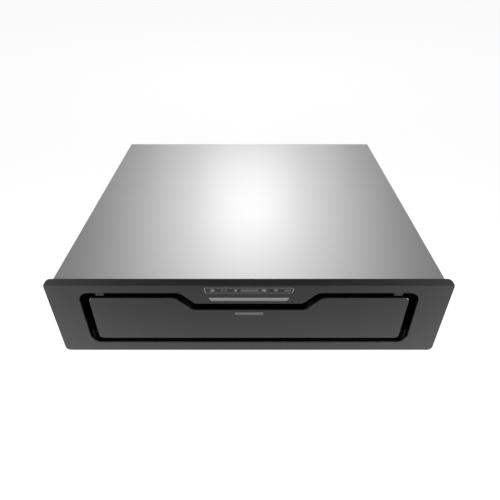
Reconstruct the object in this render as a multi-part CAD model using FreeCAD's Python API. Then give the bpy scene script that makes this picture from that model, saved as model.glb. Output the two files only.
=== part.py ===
"""Built-in cooker hood with a perimeter suction slot, modelled as an assembly of separate pieces.

A flat steel housing slides into a wall cabinet.  Its front flange is a dark fascia with a large cut-out, and
a tilting panel nearly fills that cut-out, so that air is drawn in through the slot left all round the panel.
Behind the panel come a plenum, a grease filter, a centrifugal blower lying flat and a round duct collar.

Frame: millimetres, +X to the right, +Y from the front to the rear, +Z up.  The origin is the bottom centre of
the whole hood's bounding box.
"""

import FreeCAD
import Part
import math
import os

V = FreeCAD.Vector
X_AXIS = V(1, 0, 0)
Y_AXIS = V(0, 1, 0)
Z_AXIS = V(0, 0, 1)

# ---------------------------------------------------------------- driving dimensions, millimetres
# Overall envelope
FASCIA_WIDTH = 595.0
FASCIA_HEIGHT = 146.0
BODY_DEPTH = 515.0          # fascia's front plane to the rear wall's outer face
FLANGE_OVERLAP = 12.25      # fascia past the housing at each side
TOP_OVERLAP = 3.0           # fascia above the housing's top
BOTTOM_OVERLAP = 4.0        # fascia below the housing's bottom, taken up by the feet
SHEET = 0.8                 # housing steel
FOLD_RADIUS = 2.0           # outside of its folds
FIT_GAP = 0.3               # clearance between pieces that slide into each other
SEAT_GAP = 0.1              # hairline joint round a piece let into the fascia

# Fascia
FASCIA_DEPTH = 6.0
FASCIA_SKIN = 1.5
FASCIA_CORNER = 12.0
FASCIA_LOWER_CORNER = 8.0
FACET_HEIGHT = 8.0          # bevelled strip along the top edge
FACET_SETBACK = 5.4
EDGE_ROUND = 0.7            # small rounding of painted edges
GASKET_THICKNESS = 3.0
GASKET_INSET = 1.0

# Cut-out in the fascia, and the lobe that carries the controls
SIDE_MARGIN = 46.3
BOTTOM_MARGIN = 19.1
TOP_MARGIN = 22.4
CUTOUT_CORNER = 16.0
LOBE_DROP = 21.0            # how far the lobe hangs below the cut-out's top edge
LOBE_HALF_BOTTOM = 80.5
LOBE_TOP_ROUND = 14.0
LOBE_BOTTOM_ROUND = 10.0

# Suction slot round the panel
SLOT_SIDE = 14.0
SLOT_TOP = 10.1
SLOT_BOTTOM = 8.9
SLOT_LOBE = 13.3            # under the lobe and along its slants

# Tilting panel
PANEL_RECESS = 0.6
PANEL_DEPTH = 12.0
PANEL_SKIN = 1.2
PANEL_CORNER = 7.0
PANEL_BACK = 1.0
BADGE_WIDTH = 43.5
BADGE_HEIGHT = 5.0
BADGE_THICKNESS = 0.5
BADGE_BELOW_LOBE = 7.0      # panel's edge under the lobe to the badge's centre

# Panel hinge and catches
PIN_RADIUS = 2.5
PIN_CLEARANCE = 0.06
HINGE_INTO_PANEL = 4.6      # hinge axis in front of the panel's rear
HINGE_ABOVE_EDGE = 10.0     # hinge axis above the panel's lower edge
HINGE_PLATE = 2.0
CATCH_INSET = 17.2          # panel's side edge to a catch's middle
CATCH_WIDTH = 12.0
CATCH_DROP = 6.5            # how far a catch bracket shows below the cut-out's top edge
MAGNET_RADIUS = 7.0
MAGNET_LENGTH = 6.0

# Touch strip and light bar in the lobe
STRIP_WIDTH = 131.0
STRIP_HEIGHT = 10.4
STRIP_BELOW_BEND = 4.2      # fascia's bend line to the strip's top
STRIP_RECESS = 0.2
LAMP_TOP_WIDTH = 120.0
LAMP_BOTTOM_WIDTH = 112.0
LAMP_HEIGHT = 6.0
LAMP_ABOVE_LOBE_EDGE = 5.7
POD_HALF_WIDTH = 74.0
POD_DEPTH = 20.0

# Suction liner, plenum frame and grease filter
LINER_WALL = 1.0
LINER_DEPTH = 46.0          # front plane to the plenum frame
FILTER_THICKNESS = 9.0
FILTER_SIDE_MARGIN = 19.2   # cut-out's side edge to the filter's
FILTER_MARGIN = 5.0         # filter's lower edge above the cut-out's lower edge
FILTER_BELOW_LOBE = 6.5     # cut-out's edge under the lobe to the filter's upper edge
FILTER_LIP = 9.0            # how far the plenum frame laps behind the filter
FILTER_LIFT = 4.5           # how far the filter rises to clear its rail
CHANNEL_HALF = 60.0

# Blower
IMPELLER_RADIUS = 105.0
IMPELLER_HEIGHT = 62.0
BLADE_COUNT = 32
BLADE_CHORD = 20.0
BLADE_THICKNESS = 1.2
SCROLL_GAP = 12.0           # impeller to the scroll's tongue
SCROLL_GROWTH = 9.0         # extra radius for each quarter turn
SCROLL_WALL = 2.0
SCROLL_HEIGHT = 84.0
SCROLL_DROP = 8.0           # scroll's top below the housing's top sheet
BLOWER_REAR = 232.0         # impeller's axis in front of the rear wall
INLET_RADIUS = 82.0
MOTOR_RADIUS = 44.0
MOTOR_HEIGHT = 50.0
SHAFT_RADIUS = 4.0

# Duct collar and damper
DUCT_RADIUS = 59.5          # outside of the collar, for a 120 mm duct
DUCT_LENGTH = 26.0
DUCT_WALL = 2.0
DUCT_ABOVE_BASE = 67.0      # collar's axis above the housing's bottom
FLAP_THICKNESS = 1.2
FLAP_PIN_RADIUS = 1.5

# Control box, gland and side fixings
BOX_LENGTH = 150.0
BOX_WIDTH = 76.0
BOX_HEIGHT = 44.0
BOX_WALL = 2.0
GLAND_BORE_RADIUS = 3.8
SCREW_RADIUS = 1.9
SCREW_CLEARANCE = 0.25
SIDE_HOLE_RADIUS = 2.75
SIDE_HOLE_SPACING_Y = 300.0
SIDE_HOLE_SPACING_Z = 90.0
FOOT_RADIUS = 11.0

# ---------------------------------------------------------------- places that follow from them
FRONT = -(BODY_DEPTH + DUCT_LENGTH) / 2         # fascia's front plane
REAR = FRONT + BODY_DEPTH                       # rear wall's outer face
HALF = FASCIA_WIDTH / 2
BODY_HALF = HALF - FLANGE_OVERLAP
BODY_LOW = BOTTOM_OVERLAP
BODY_HIGH = FASCIA_HEIGHT - TOP_OVERLAP
BEND_Z = FASCIA_HEIGHT - FACET_HEIGHT           # where the facet starts
BODY_FRONT = FRONT + FASCIA_DEPTH

CUT_HALF = HALF - SIDE_MARGIN
CUT_LOW = BOTTOM_MARGIN
CUT_HIGH = FASCIA_HEIGHT - TOP_MARGIN
LOBE_LOW = CUT_HIGH - LOBE_DROP

PANEL_HALF = CUT_HALF - SLOT_SIDE
PANEL_LOW = CUT_LOW + SLOT_BOTTOM
PANEL_HIGH = CUT_HIGH - SLOT_TOP
PANEL_LOBE_LOW = LOBE_LOW - SLOT_LOBE
# A 45 degree slant moved square to itself by the slot's width, cut at the lower edge under the lobe.
PANEL_LOBE_HALF = LOBE_HALF_BOTTOM + SLOT_LOBE * (math.sqrt(2) - 1)
PANEL_FRONT = FRONT + PANEL_RECESS
PANEL_REAR = PANEL_FRONT + PANEL_DEPTH

HINGE_Y = PANEL_REAR - HINGE_INTO_PANEL
HINGE_Z = PANEL_LOW + HINGE_ABOVE_EDGE
FRAME_Y = FRONT + LINER_DEPTH                   # plenum frame's front face
FILTER_LOW = CUT_LOW + FILTER_MARGIN
FILTER_HIGH = LOBE_LOW - FILTER_BELOW_LOBE
FILTER_HALF_WIDTH = CUT_HALF - FILTER_SIDE_MARGIN
FILTER_FRONT = FRAME_Y - FILTER_THICKNESS

BLOWER_Y = REAR - BLOWER_REAR
SCROLL_TOP = BODY_HIGH - SHEET - SCROLL_DROP
SCROLL_LOW = SCROLL_TOP - SCROLL_HEIGHT
SCROLL_START = IMPELLER_RADIUS + SCROLL_GAP
SCROLL_END = SCROLL_START + 3 * SCROLL_GROWTH   # radius on the side that leads into the outlet
DUCT_Z = BODY_LOW + DUCT_ABOVE_BASE
DUCT_BORE = DUCT_RADIUS - DUCT_WALL
OUTLET_HALF = 44.0                              # half width of the scroll's outlet
BLOWER_X = -(SCROLL_END - OUTLET_HALF)          # so that the outlet lies on the hood's centre line

shapes = {}


# ---------------------------------------------------------------- shape helpers
def block(x0, x1, y0, y1, z0, z1):
    """A box between two corners."""
    return Part.makeBox(x1 - x0, y1 - y0, z1 - z0, V(x0, y0, z0))


def rod(radius, length, start, axis):
    """A solid cylinder that starts at a point and runs along an axis."""
    return Part.makeCylinder(radius, length, start, axis)


def tube(outer, inner, length, start, axis):
    """A cylinder with a coaxial bore."""
    return rod(outer, length, start, axis).cut(rod(inner, length, start, axis))


def rounded_wire(corners, to_point):
    """A closed wire through corners (a, b, radius), each rounded by an arc of its radius."""
    edges = []
    ends = []
    count = len(corners)
    for i, (a, b, radius) in enumerate(corners):
        here = V(a, b, 0)
        before = V(corners[i - 1][0], corners[i - 1][1], 0) - here
        after = V(corners[(i + 1) % count][0], corners[(i + 1) % count][1], 0) - here
        before.normalize()
        after.normalize()
        half_angle = before.getAngle(after) / 2
        if radius <= 0:
            ends.append((here, here))
            continue
        run = radius / math.tan(half_angle)
        inward = before + after
        inward.normalize()
        middle = here + inward * (radius / math.sin(half_angle) - radius)
        start = here + before * run
        end = here + after * run
        ends.append((start, end))
        edges.append(Part.Arc(to_point(start), to_point(middle), to_point(end)).toShape())
    for i in range(count):
        start = ends[i][1]
        end = ends[(i + 1) % count][0]
        if start.distanceToPoint(end) > 1e-6:
            edges.append(Part.LineSegment(to_point(start), to_point(end)).toShape())
    return Part.Wire(Part.__sortEdges__(edges))


def front_prism(corners, y0, y1):
    """A prism whose outline is drawn on the front (X, Z) and that runs from y0 to y1."""
    face = Part.Face(rounded_wire(corners, lambda p: V(p.x, y0, p.y)))
    return face.extrude(V(0, y1 - y0, 0))


def plan_prism(corners, z0, z1):
    """A prism whose outline is drawn in plan (X, Y) and that runs from z0 to z1."""
    face = Part.Face(rounded_wire(corners, lambda p: V(p.x, p.y, z0)))
    return face.extrude(V(0, 0, z1 - z0))


def rounded_rectangle(half, low, high, radius):
    return [(-half, low, radius), (half, low, radius), (half, high, radius), (-half, high, radius)]


def hexagon(a, b, reach):
    """Corners of a hexagon about a point, as far from it as reach."""
    turns = [math.radians(60 * i) for i in range(6)]
    return [(a + reach * math.cos(t), b + reach * math.sin(t), 0) for t in turns]


def lobed_outline(half, low, high, lobe_half, lobe_low, corner, top_round, bottom_round, grow=0.0):
    """A rectangle whose top edge dips round the control lobe on 45 degree slants.

    grow moves every side outwards, square to itself.
    """
    slant_shift = grow * (math.sqrt(2) - 1)
    top_half = lobe_half + (high - lobe_low)
    h = half + grow
    lo = low - grow
    hi = high + grow
    dip = lobe_low + grow
    bottom = lobe_half - slant_shift
    top = top_half - slant_shift
    r = corner + grow
    return [
        (-h, lo, r), (h, lo, r), (h, hi, r),
        (top, hi, top_round + grow), (bottom, dip, max(bottom_round - grow, 1.0)),
        (-bottom, dip, max(bottom_round - grow, 1.0)), (-top, hi, top_round + grow),
        (-h, hi, r),
    ]


def cutout_outline(grow=0.0):
    return lobed_outline(CUT_HALF, CUT_LOW, CUT_HIGH, LOBE_HALF_BOTTOM, LOBE_LOW,
                         CUTOUT_CORNER, LOBE_TOP_ROUND, LOBE_BOTTOM_ROUND, grow)


def panel_outline(shrink=0.0):
    return lobed_outline(PANEL_HALF, PANEL_LOW, PANEL_HIGH, PANEL_LOBE_HALF, PANEL_LOBE_LOW,
                         PANEL_CORNER, LOBE_BOTTOM_ROUND, LOBE_TOP_ROUND, -shrink)


def round_front_edges(solid, y, radius):
    """Rounds every edge that lies wholly in the plane at y."""
    edges = [e for e in solid.Edges
             if abs(e.BoundBox.YMin - y) < 1e-4 and abs(e.BoundBox.YMax - y) < 1e-4]
    return solid.makeFillet(radius, edges)


def group(solids):
    """Separate solids that share one node."""
    return Part.makeCompound(solids)


def screw(at, axis, length, head_radius=3.6, head_height=2.2):
    """A pan-head screw.  at is under the head, and axis points the way the shank goes."""
    shank = rod(SCREW_RADIUS, length, at, axis)
    head = rod(head_radius, head_height, at - axis * head_height, axis)
    recess_depth = head_height * 0.6
    recess = rod(head_radius * 0.4, recess_depth, at - axis * head_height, axis)
    return shank.fuse(head).cut(recess)


def screw_hole(at, axis, length):
    """What a sheet loses for a screw to pass."""
    reach = 1.0
    return rod(SCREW_RADIUS + SCREW_CLEARANCE, length + 2 * reach, at - axis * reach, axis)


# ---------------------------------------------------------------- fascia
def fascia_outline(inset=0.0, high=FASCIA_HEIGHT):
    """The fascia's outline on the front, with larger corners above than below."""
    half = HALF - inset
    upper = FASCIA_CORNER - inset
    lower = FASCIA_LOWER_CORNER - inset
    return [(-half, inset, lower), (half, inset, lower), (half, high, upper), (-half, high, upper)]


def fascia():
    """Pressed flange with a bevelled strip along its top, a return all round and the lobed cut-out."""
    side = [(FRONT, 0, 0), (FRONT, BEND_Z, 0), (FRONT + FACET_SETBACK, FASCIA_HEIGHT, 0),
            (BODY_FRONT, FASCIA_HEIGHT, 0), (BODY_FRONT, 0, 0)]
    profile = Part.Face(rounded_wire(side, lambda p: V(-HALF, p.x, p.y)))
    plate = profile.extrude(V(FASCIA_WIDTH, 0, 0))
    plate = plate.common(front_prism(fascia_outline(), FRONT, BODY_FRONT))
    plate = plate.cut(front_prism(cutout_outline(), FRONT, BODY_FRONT))
    plate = round_front_edges(plate, FRONT, EDGE_ROUND)

    pocket_half = BODY_HALF - SHEET
    pocket_high = BEND_Z - FASCIA_SKIN
    pocket = front_prism(rounded_rectangle(pocket_half, BODY_LOW + SHEET, pocket_high, 1.0),
                         FRONT + FASCIA_SKIN, BODY_FRONT)
    rim = front_prism(cutout_outline(FASCIA_SKIN), FRONT, BODY_FRONT)
    plate = plate.cut(pocket.cut(rim))
    # Lugs that the housing's screws bite into.
    for x, z in fascia_screw_places():
        lug = rod(FASCIA_LUG_RADIUS, FASCIA_DEPTH - FASCIA_SKIN, V(x, FRONT + FASCIA_SKIN, z), Y_AXIS)
        plate = plate.fuse(lug)
    for x, z in fascia_screw_places():
        plate = plate.cut(rod(SCREW_RADIUS, FASCIA_DEPTH - FASCIA_SKIN, V(x, FRONT + FASCIA_SKIN, z), Y_AXIS))
    plate = plate.cut(strip_prism(SEAT_GAP, FRONT, FRONT + FASCIA_SKIN))
    plate = plate.cut(lamp_prism(SEAT_GAP, FRONT, FRONT + FASCIA_SKIN))
    return plate.removeSplitter()


FASCIA_LUG_RADIUS = 5.0
SHELL_FLANGE = 14.0         # inward flange at the housing's front, where the fascia is screwed on


def fascia_screw_places():
    """Six screws down the two sides, in the housing's front flange."""
    x = BODY_HALF - SHELL_FLANGE / 2 - SHEET
    from_end = 22.0
    heights = (BODY_LOW + from_end, (BODY_LOW + BODY_HIGH) / 2, BODY_HIGH - from_end)
    return [(side * x, z) for side in (-1, 1) for z in heights]


def strip_outline(grow=0.0):
    high = BEND_Z - STRIP_BELOW_BEND
    return rounded_rectangle(STRIP_WIDTH / 2 + grow, high - STRIP_HEIGHT - grow, high + grow, 1.6 + grow)


def strip_prism(grow, y0, y1):
    return front_prism(strip_outline(grow), y0, y1)


def lamp_outline(grow=0.0):
    low = LOBE_LOW + LAMP_ABOVE_LOBE_EDGE
    high = low + LAMP_HEIGHT
    return [(-LAMP_BOTTOM_WIDTH / 2 - grow, low - grow, 0.8), (LAMP_BOTTOM_WIDTH / 2 + grow, low - grow, 0.8),
            (LAMP_TOP_WIDTH / 2 + grow, high + grow, 0.8), (-LAMP_TOP_WIDTH / 2 - grow, high + grow, 0.8)]


def lamp_prism(grow, y0, y1):
    return front_prism(lamp_outline(grow), y0, y1)


def flange_gasket():
    """Soft strips behind the fascia's two side flanges, which seal it against the cabinet's edges."""
    low = GASKET_INSET
    high = FASCIA_HEIGHT - GASKET_INSET - FASCIA_DEPTH
    strips = []
    for side in (-1, 1):
        x0 = side * (BODY_HALF + 1.0)
        x1 = side * (HALF - GASKET_INSET)
        strip = block(min(x0, x1), max(x0, x1), BODY_FRONT, BODY_FRONT + GASKET_THICKNESS, low, high)
        outline = fascia_outline(GASKET_INSET, high)
        strips.append(strip.common(front_prism(outline, BODY_FRONT, BODY_FRONT + GASKET_THICKNESS)))
    return group(strips)


# ---------------------------------------------------------------- controls and light in the lobe
SHOULDER = 1.5              # how far a let-in piece laps behind the fascia
SHOULDER_THICKNESS = 1.2


def touch_strip():
    """Dark glass with the touch keys printed on its back, and a shoulder glued behind the fascia."""
    face = strip_prism(0, FRONT + STRIP_RECESS, FRONT + FASCIA_SKIN)
    back = strip_prism(SHOULDER, FRONT + FASCIA_SKIN, FRONT + FASCIA_SKIN + SHOULDER_THICKNESS)
    return face.fuse(back).removeSplitter()


def light_diffuser():
    """Opal bar with a shoulder behind the fascia that keeps it from falling out."""
    face = lamp_prism(0, FRONT, FRONT + FASCIA_SKIN)
    back = lamp_prism(SHOULDER, FRONT + FASCIA_SKIN, FRONT + FASCIA_SKIN + SHOULDER_THICKNESS)
    return face.fuse(back).removeSplitter()


POD_WALL = 1.6
BOARD = 1.6                 # circuit board thickness


def pod_box():
    """Outer faces of the control pod: half width, front, rear, low, high."""
    low = LOBE_LOW + FASCIA_SKIN + LINER_WALL + FIT_GAP
    front = FRONT + FASCIA_SKIN + SHOULDER_THICKNESS
    return POD_HALF_WIDTH, front, FRONT + POD_DEPTH, low, BEND_Z - FASCIA_SKIN


def control_pod():
    """Open-fronted plastic box behind the lobe that holds both circuit boards."""
    half, y0, y1, z0, z1 = pod_box()
    box = block(-half, half, y0, y1, z0, z1)
    hollow = block(-half + POD_WALL, half - POD_WALL, y0, y1 - POD_WALL, z0 + POD_WALL, z1 - POD_WALL)
    loom_hole = rod(LOOM_RADIUS, POD_WALL * 2, V(POD_LOOM_X, y1 - POD_WALL * 1.5, LOOM_Z), Y_AXIS)
    return box.cut(hollow).cut(loom_hole)


def touch_board():
    """Sensor board of the touch keys, with a low row of parts on its back."""
    strip_middle = BEND_Z - STRIP_BELOW_BEND - STRIP_HEIGHT / 2
    front = FRONT + FASCIA_SKIN + SHOULDER_THICKNESS
    half = POD_HALF_WIDTH - POD_WALL
    board_half = 5.5
    board = block(-half, half, front, front + BOARD, strip_middle - board_half, strip_middle + board_half)
    for i in range(-3, 4):
        x = i * 17.0
        board = board.fuse(block(x - 4, x + 4, front + BOARD, front + BOARD + 2.2,
                                 strip_middle - 3, strip_middle + 3))
    return board


def led_board():
    """Narrow board with a row of light-emitting diodes behind the diffuser."""
    middle = LOBE_LOW + LAMP_ABOVE_LOBE_EDGE + LAMP_HEIGHT / 2
    front = BODY_FRONT + FIT_GAP + 1.0
    half = POD_HALF_WIDTH - POD_WALL
    board = block(-half, half, front, front + BOARD, middle - 3.2, middle + 3.2)
    for i in range(9):
        x = (i - 4) * 12.0
        board = board.fuse(block(x - 1.75, x + 1.75, front - 0.9, front, middle - 1.4, middle + 1.4))
    return board


# ---------------------------------------------------------------- housing
def folded_section(half, high, radius):
    """The housing's length of a section with a flat bottom and two rounded upper corners."""
    corners = [(-half, BODY_LOW, 0), (half, BODY_LOW, 0), (half, high, radius), (-half, high, radius)]
    return front_prism(corners, BODY_FRONT, REAR)


def housing_shell():
    """Top and both sides folded from one sheet, with an inward flange at the front."""
    shell = folded_section(BODY_HALF, BODY_HIGH, FOLD_RADIUS).cut(
        folded_section(BODY_HALF - SHEET, BODY_HIGH - SHEET, FOLD_RADIUS - SHEET))
    for side in (-1, 1):
        x0 = side * (BODY_HALF - SHEET)
        x1 = side * (BODY_HALF - SHEET - SHELL_FLANGE)
        shell = shell.fuse(block(min(x0, x1), max(x0, x1), BODY_FRONT, BODY_FRONT + SHEET,
                                 BODY_LOW + SHEET, BODY_HIGH - FOLD_RADIUS))
    for x, z in fascia_screw_places():
        shell = shell.cut(screw_hole(V(x, BODY_FRONT, z), Y_AXIS, SHEET))
    for y in side_hole_ys():
        for z in side_hole_zs():
            shell = shell.cut(rod(SIDE_HOLE_RADIUS, 2 * BODY_HALF + 2, V(-BODY_HALF - 1, y, z), X_AXIS))
    for at, axis in rear_screws() + base_screws():
        shell = shell.cut(screw_hole(at, axis, SHEET))
    return shell.removeSplitter()


def side_hole_ys():
    middle = (BODY_FRONT + REAR) / 2
    return (middle - SIDE_HOLE_SPACING_Y / 2, middle + SIDE_HOLE_SPACING_Y / 2)


def side_hole_zs():
    middle = (BODY_LOW + BODY_HIGH) / 2
    return (middle - SIDE_HOLE_SPACING_Z / 2, middle + SIDE_HOLE_SPACING_Z / 2)


TAB = 10.0                  # width of the folded edges that the sheets are screwed through


def housing_base():
    """Bottom sheet with upturned edges at both sides and the rear, inside the shell's walls."""
    half = BODY_HALF - SHEET
    rear = REAR - SHEET
    tray = block(-half, half, BODY_FRONT, rear, BODY_LOW, BODY_LOW + SHEET)
    for side in (-1, 1):
        x0 = side * half
        x1 = side * (half - SHEET)
        tray = tray.fuse(block(min(x0, x1), max(x0, x1), BODY_FRONT + SHEET + 1.0, rear,
                               BODY_LOW, BODY_LOW + TAB))
    tray = tray.fuse(block(-half, half, rear - SHEET, rear, BODY_LOW, BODY_LOW + TAB))
    notch = DUCT_RADIUS + 6.0
    tray = tray.cut(block(-notch, notch, rear - SHEET, rear, BODY_LOW + SHEET, BODY_LOW + TAB))
    for at, axis in base_screws() + rear_screws() + foot_screws():
        tray = tray.cut(screw_hole(at, axis, 2 * SHEET + FIT_GAP))
    return tray.removeSplitter()


def rear_wall():
    """Back plate with folded side tabs, a hole for the duct collar and one for the cable gland."""
    half = BODY_HALF - SHEET
    low = BODY_LOW
    high = BODY_HIGH - SHEET
    plate = block(-half, half, REAR - SHEET, REAR, low, high)
    for side in (-1, 1):
        x0, x1 = sorted((side * half, side * (half - SHEET)))
        plate = plate.fuse(block(x0, x1, REAR - TAB, REAR, low + TAB + 1.0, high - FOLD_RADIUS))
    plate = plate.common(folded_section(half, high, FOLD_RADIUS - SHEET))
    plate = plate.cut(rod(DUCT_BORE, 4.0, V(0, REAR - 2.0, DUCT_Z), Y_AXIS))
    plate = plate.cut(rod(GLAND_SHANK, 4.0, V(GLAND_X, REAR - 2.0, GLAND_Z), Y_AXIS))
    for at, axis in rear_screws() + collar_screws():
        plate = plate.cut(screw_hole(at, axis, SHEET + COLLAR_PLATE))
    return plate.removeSplitter()


def rear_screws():
    """Screws through the shell's sides into the rear wall's tabs, and through the rear wall's foot."""
    places = []
    y = REAR - TAB / 2
    from_end = 30.0
    pitch = 100.0
    for side in (-1, 1):
        for z in (BODY_LOW + from_end, BODY_HIGH - from_end):
            places.append((V(side * BODY_HALF, y, z), V(-side, 0, 0)))
        for x in (side * pitch, side * 2 * pitch):
            places.append((V(x, REAR, BODY_LOW + TAB / 2), V(0, -1, 0)))
    return places


def base_screws():
    """Three screws down each side, through the shell into the base's upturned edges."""
    places = []
    from_end = 60.0
    for side in (-1, 1):
        for y in (BODY_FRONT + from_end, (BODY_FRONT + REAR) / 2, REAR - from_end):
            places.append((V(side * BODY_HALF, y, BODY_LOW + TAB / 2), V(-side, 0, 0)))
    return places


def foot_places():
    from_side = 14.0
    from_front = 22.0
    from_rear = 45.0
    reach = BODY_HALF - from_side
    return [(x, y) for x in (-reach, reach) for y in (BODY_FRONT + from_front, REAR - from_rear)]


def foot_screws():
    """From inside the base, down into the pads."""
    return [(V(x, y, BODY_LOW + SHEET), V(0, 0, -1)) for x, y in foot_places()]


def rubber_feet():
    """Four pads that level the housing with the fascia's lower edge."""
    recess_radius = 5.0
    recess_depth = 1.0
    feet = []
    for x, y in foot_places():
        pad = Part.makeCone(FOOT_RADIUS - 1.5, FOOT_RADIUS, BOTTOM_OVERLAP, V(x, y, 0), Z_AXIS)
        pad = pad.cut(rod(recess_radius, recess_depth, V(x, y, 0), Z_AXIS))
        pad = pad.cut(rod(SCREW_RADIUS, BOTTOM_OVERLAP, V(x, y, 0), Z_AXIS))
        feet.append(pad)
    return group(feet)


def screw_set(places, length):
    return group([screw(at, axis, length) for at, axis in places])


# ---------------------------------------------------------------- suction liner, plenum frame, filter
def inlet_liner():
    """Black duct wall that carries the cut-out's outline back to the plenum frame."""
    y0 = FRONT + FASCIA_SKIN
    outer = front_prism(cutout_outline(FASCIA_SKIN + LINER_WALL), y0, FRAME_Y)
    inner = front_prism(cutout_outline(FASCIA_SKIN), y0, FRAME_Y)
    liner = outer.cut(inner)
    reach = CUT_HIGH + 2 * FASCIA_SKIN + LINER_WALL
    for x in catch_xs():
        x0 = x - CATCH_WIDTH / 2
        slit = block(x0, x0 + CATCH_WIDTH, CATCH_BACK - CATCH_SHEET, CATCH_BACK, CUT_HIGH, reach)
        liner = liner.cut(slit)
    return liner


def plenum_frame():
    """Black plate across the housing behind the liner, open where the filter sits and folded at its edges."""
    half = BODY_HALF - 2 * SHEET - FIT_GAP
    low = BODY_LOW + SHEET
    high = BODY_HIGH - SHEET
    fold = 12.0
    plate = block(-half, half, FRAME_Y, FRAME_Y + SHEET, low, high)
    plate = plate.fuse(block(-half, half, FRAME_Y, FRAME_Y + fold, low, low + SHEET))
    plate = plate.fuse(block(-half, half, FRAME_Y, FRAME_Y + fold, high - SHEET, high))
    window = rounded_rectangle(FILTER_HALF_WIDTH - FILTER_LIP, FILTER_LOW + FILTER_LIP,
                               FILTER_HIGH - FILTER_LIP, 6.0)
    plate = plate.cut(front_prism(window, FRAME_Y, FRAME_Y + SHEET))
    # Loom passes at the right-hand side.
    return plate.cut(rod(5.0, 4.0, V(LOOM_X, FRAME_Y - 2.0, LOOM_Z), Y_AXIS)).removeSplitter()


def filter_rail():
    """Channel under the filter that its lower edge drops into."""
    wall = 1.0
    clear = FIT_GAP
    y0 = FILTER_FRONT - clear - wall
    z0 = FILTER_LOW - clear - wall
    half = FILTER_HALF_WIDTH - 1.0
    floor = block(-half, half, y0, FRAME_Y, z0, z0 + wall)
    lip = block(-half, half, y0, y0 + wall, z0, z0 + 4.0)
    return floor.fuse(lip).removeSplitter()


FILTER_EDGE = 9.0           # width of the filter's folded aluminium edge
FILTER_SKIN = 1.0
HANDLE_X = 34.0             # half the distance between the handle's ears
HANDLE_WIRE = 1.3           # radius of the handle's wire
HANDLE_DROP = 17.0
HANDLE_Y = FILTER_FRONT - 3.6
HANDLE_Z = FILTER_HIGH - FILTER_EDGE - 6.0


def groove_outline():
    skin = FILTER_SKIN
    return rounded_rectangle(FILTER_HALF_WIDTH - skin, FILTER_LOW + skin, FILTER_HIGH - skin, 2.0)


def filter_frame():
    """Folded aluminium edge round the grease filter, with a cross strap."""
    half = FILTER_HALF_WIDTH
    strap_half = HANDLE_X + 12.0
    strap_low = HANDLE_Z - 6.0
    outer = front_prism(rounded_rectangle(half, FILTER_LOW, FILTER_HIGH, 3.0), FILTER_FRONT, FRAME_Y)
    window = rounded_rectangle(half - FILTER_EDGE, FILTER_LOW + FILTER_EDGE, FILTER_HIGH - FILTER_EDGE, 2.0)
    frame = outer.cut(front_prism(window, FILTER_FRONT, FRAME_Y))
    frame = frame.cut(front_prism(groove_outline(), FILTER_FRONT + FILTER_SKIN, FRAME_Y - FILTER_SKIN))
    strap = block(-strap_half, strap_half, FILTER_FRONT, FILTER_FRONT + FILTER_SKIN,
                  strap_low, FILTER_HIGH - FILTER_EDGE)
    return frame.fuse(strap).removeSplitter()


def filter_mesh():
    """Three layers of expanded aluminium mesh, held in the frame's groove."""
    layer = 1.4
    room = FILTER_THICKNESS - 2 * FILTER_SKIN
    sheets = []
    for i in range(3):
        y = FILTER_FRONT + FILTER_SKIN + i * (room - layer) / 2
        sheets.append(front_prism(groove_outline(), y, y + layer))
    return group(sheets)


def handle_ears():
    """Two eyes riveted on the filter's strap for the wire handle."""
    thick = 3.0
    eye_radius = 3.2
    foot_reach = 3.0
    foot_half = 5.0
    foot_sheet = 0.8
    ears = []
    for side in (-1, 1):
        x0 = side * HANDLE_X - thick / 2
        x1 = x0 + thick
        ear = rod(eye_radius, thick, V(x0, HANDLE_Y, HANDLE_Z), X_AXIS)
        stem = block(x0, x1, HANDLE_Y, FILTER_FRONT, HANDLE_Z - eye_radius, HANDLE_Z + eye_radius)
        foot = block(x0 - foot_reach, x1 + foot_reach, FILTER_FRONT - foot_sheet, FILTER_FRONT,
                     HANDLE_Z - foot_half, HANDLE_Z + foot_half)
        eye = rod(HANDLE_WIRE + PIN_CLEARANCE, 4 * thick, V(x0 - thick, HANDLE_Y, HANDLE_Z), X_AXIS)
        ears.append(ear.fuse([stem, foot]).cut(eye).removeSplitter())
    return group(ears)


def wire_handle():
    """Bail of bent wire that hangs from the two eyes."""
    tail = 3.5
    bend = 5.0
    x = HANDLE_X - tail
    low = HANDLE_Z - HANDLE_DROP
    slack = bend * (1 - math.sqrt(0.5))
    wire_edges = [
        Part.LineSegment(V(HANDLE_X + tail, HANDLE_Y, HANDLE_Z), V(x, HANDLE_Y, HANDLE_Z)).toShape(),
        Part.Arc(V(x, HANDLE_Y, HANDLE_Z), V(x - bend + slack, HANDLE_Y, HANDLE_Z - slack),
                 V(x - bend, HANDLE_Y, HANDLE_Z - bend)).toShape(),
        Part.LineSegment(V(x - bend, HANDLE_Y, HANDLE_Z - bend), V(x - bend, HANDLE_Y, low + bend)).toShape(),
        Part.Arc(V(x - bend, HANDLE_Y, low + bend), V(x - bend - slack, HANDLE_Y, low + slack),
                 V(x - 2 * bend, HANDLE_Y, low)).toShape(),
        Part.LineSegment(V(x - 2 * bend, HANDLE_Y, low), V(0, HANDLE_Y, low)).toShape(),
    ]
    section = Part.Wire([Part.Circle(V(HANDLE_X + tail, HANDLE_Y, HANDLE_Z), X_AXIS, HANDLE_WIRE).toShape()])
    half = Part.Wire(wire_edges).makePipeShell([section], True, True)
    return half.fuse(half.mirror(V(0, 0, 0), X_AXIS)).removeSplitter()


def filter_channel():
    """Deep channel over the filter: lifting the filter into it frees the lower edge from its rail."""
    wall = 1.0
    lap = 4.0
    headroom = 0.4
    lip_low = FILTER_HIGH - lap
    roof = FILTER_HIGH + FILTER_LIFT + headroom
    y0 = FILTER_FRONT - FIT_GAP - wall
    half = CHANNEL_HALF
    lip = block(-half, half, y0, y0 + wall, lip_low, roof)
    top = block(-half, half, y0, FRAME_Y, roof, roof + wall)
    return lip.fuse(top).removeSplitter()


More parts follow.
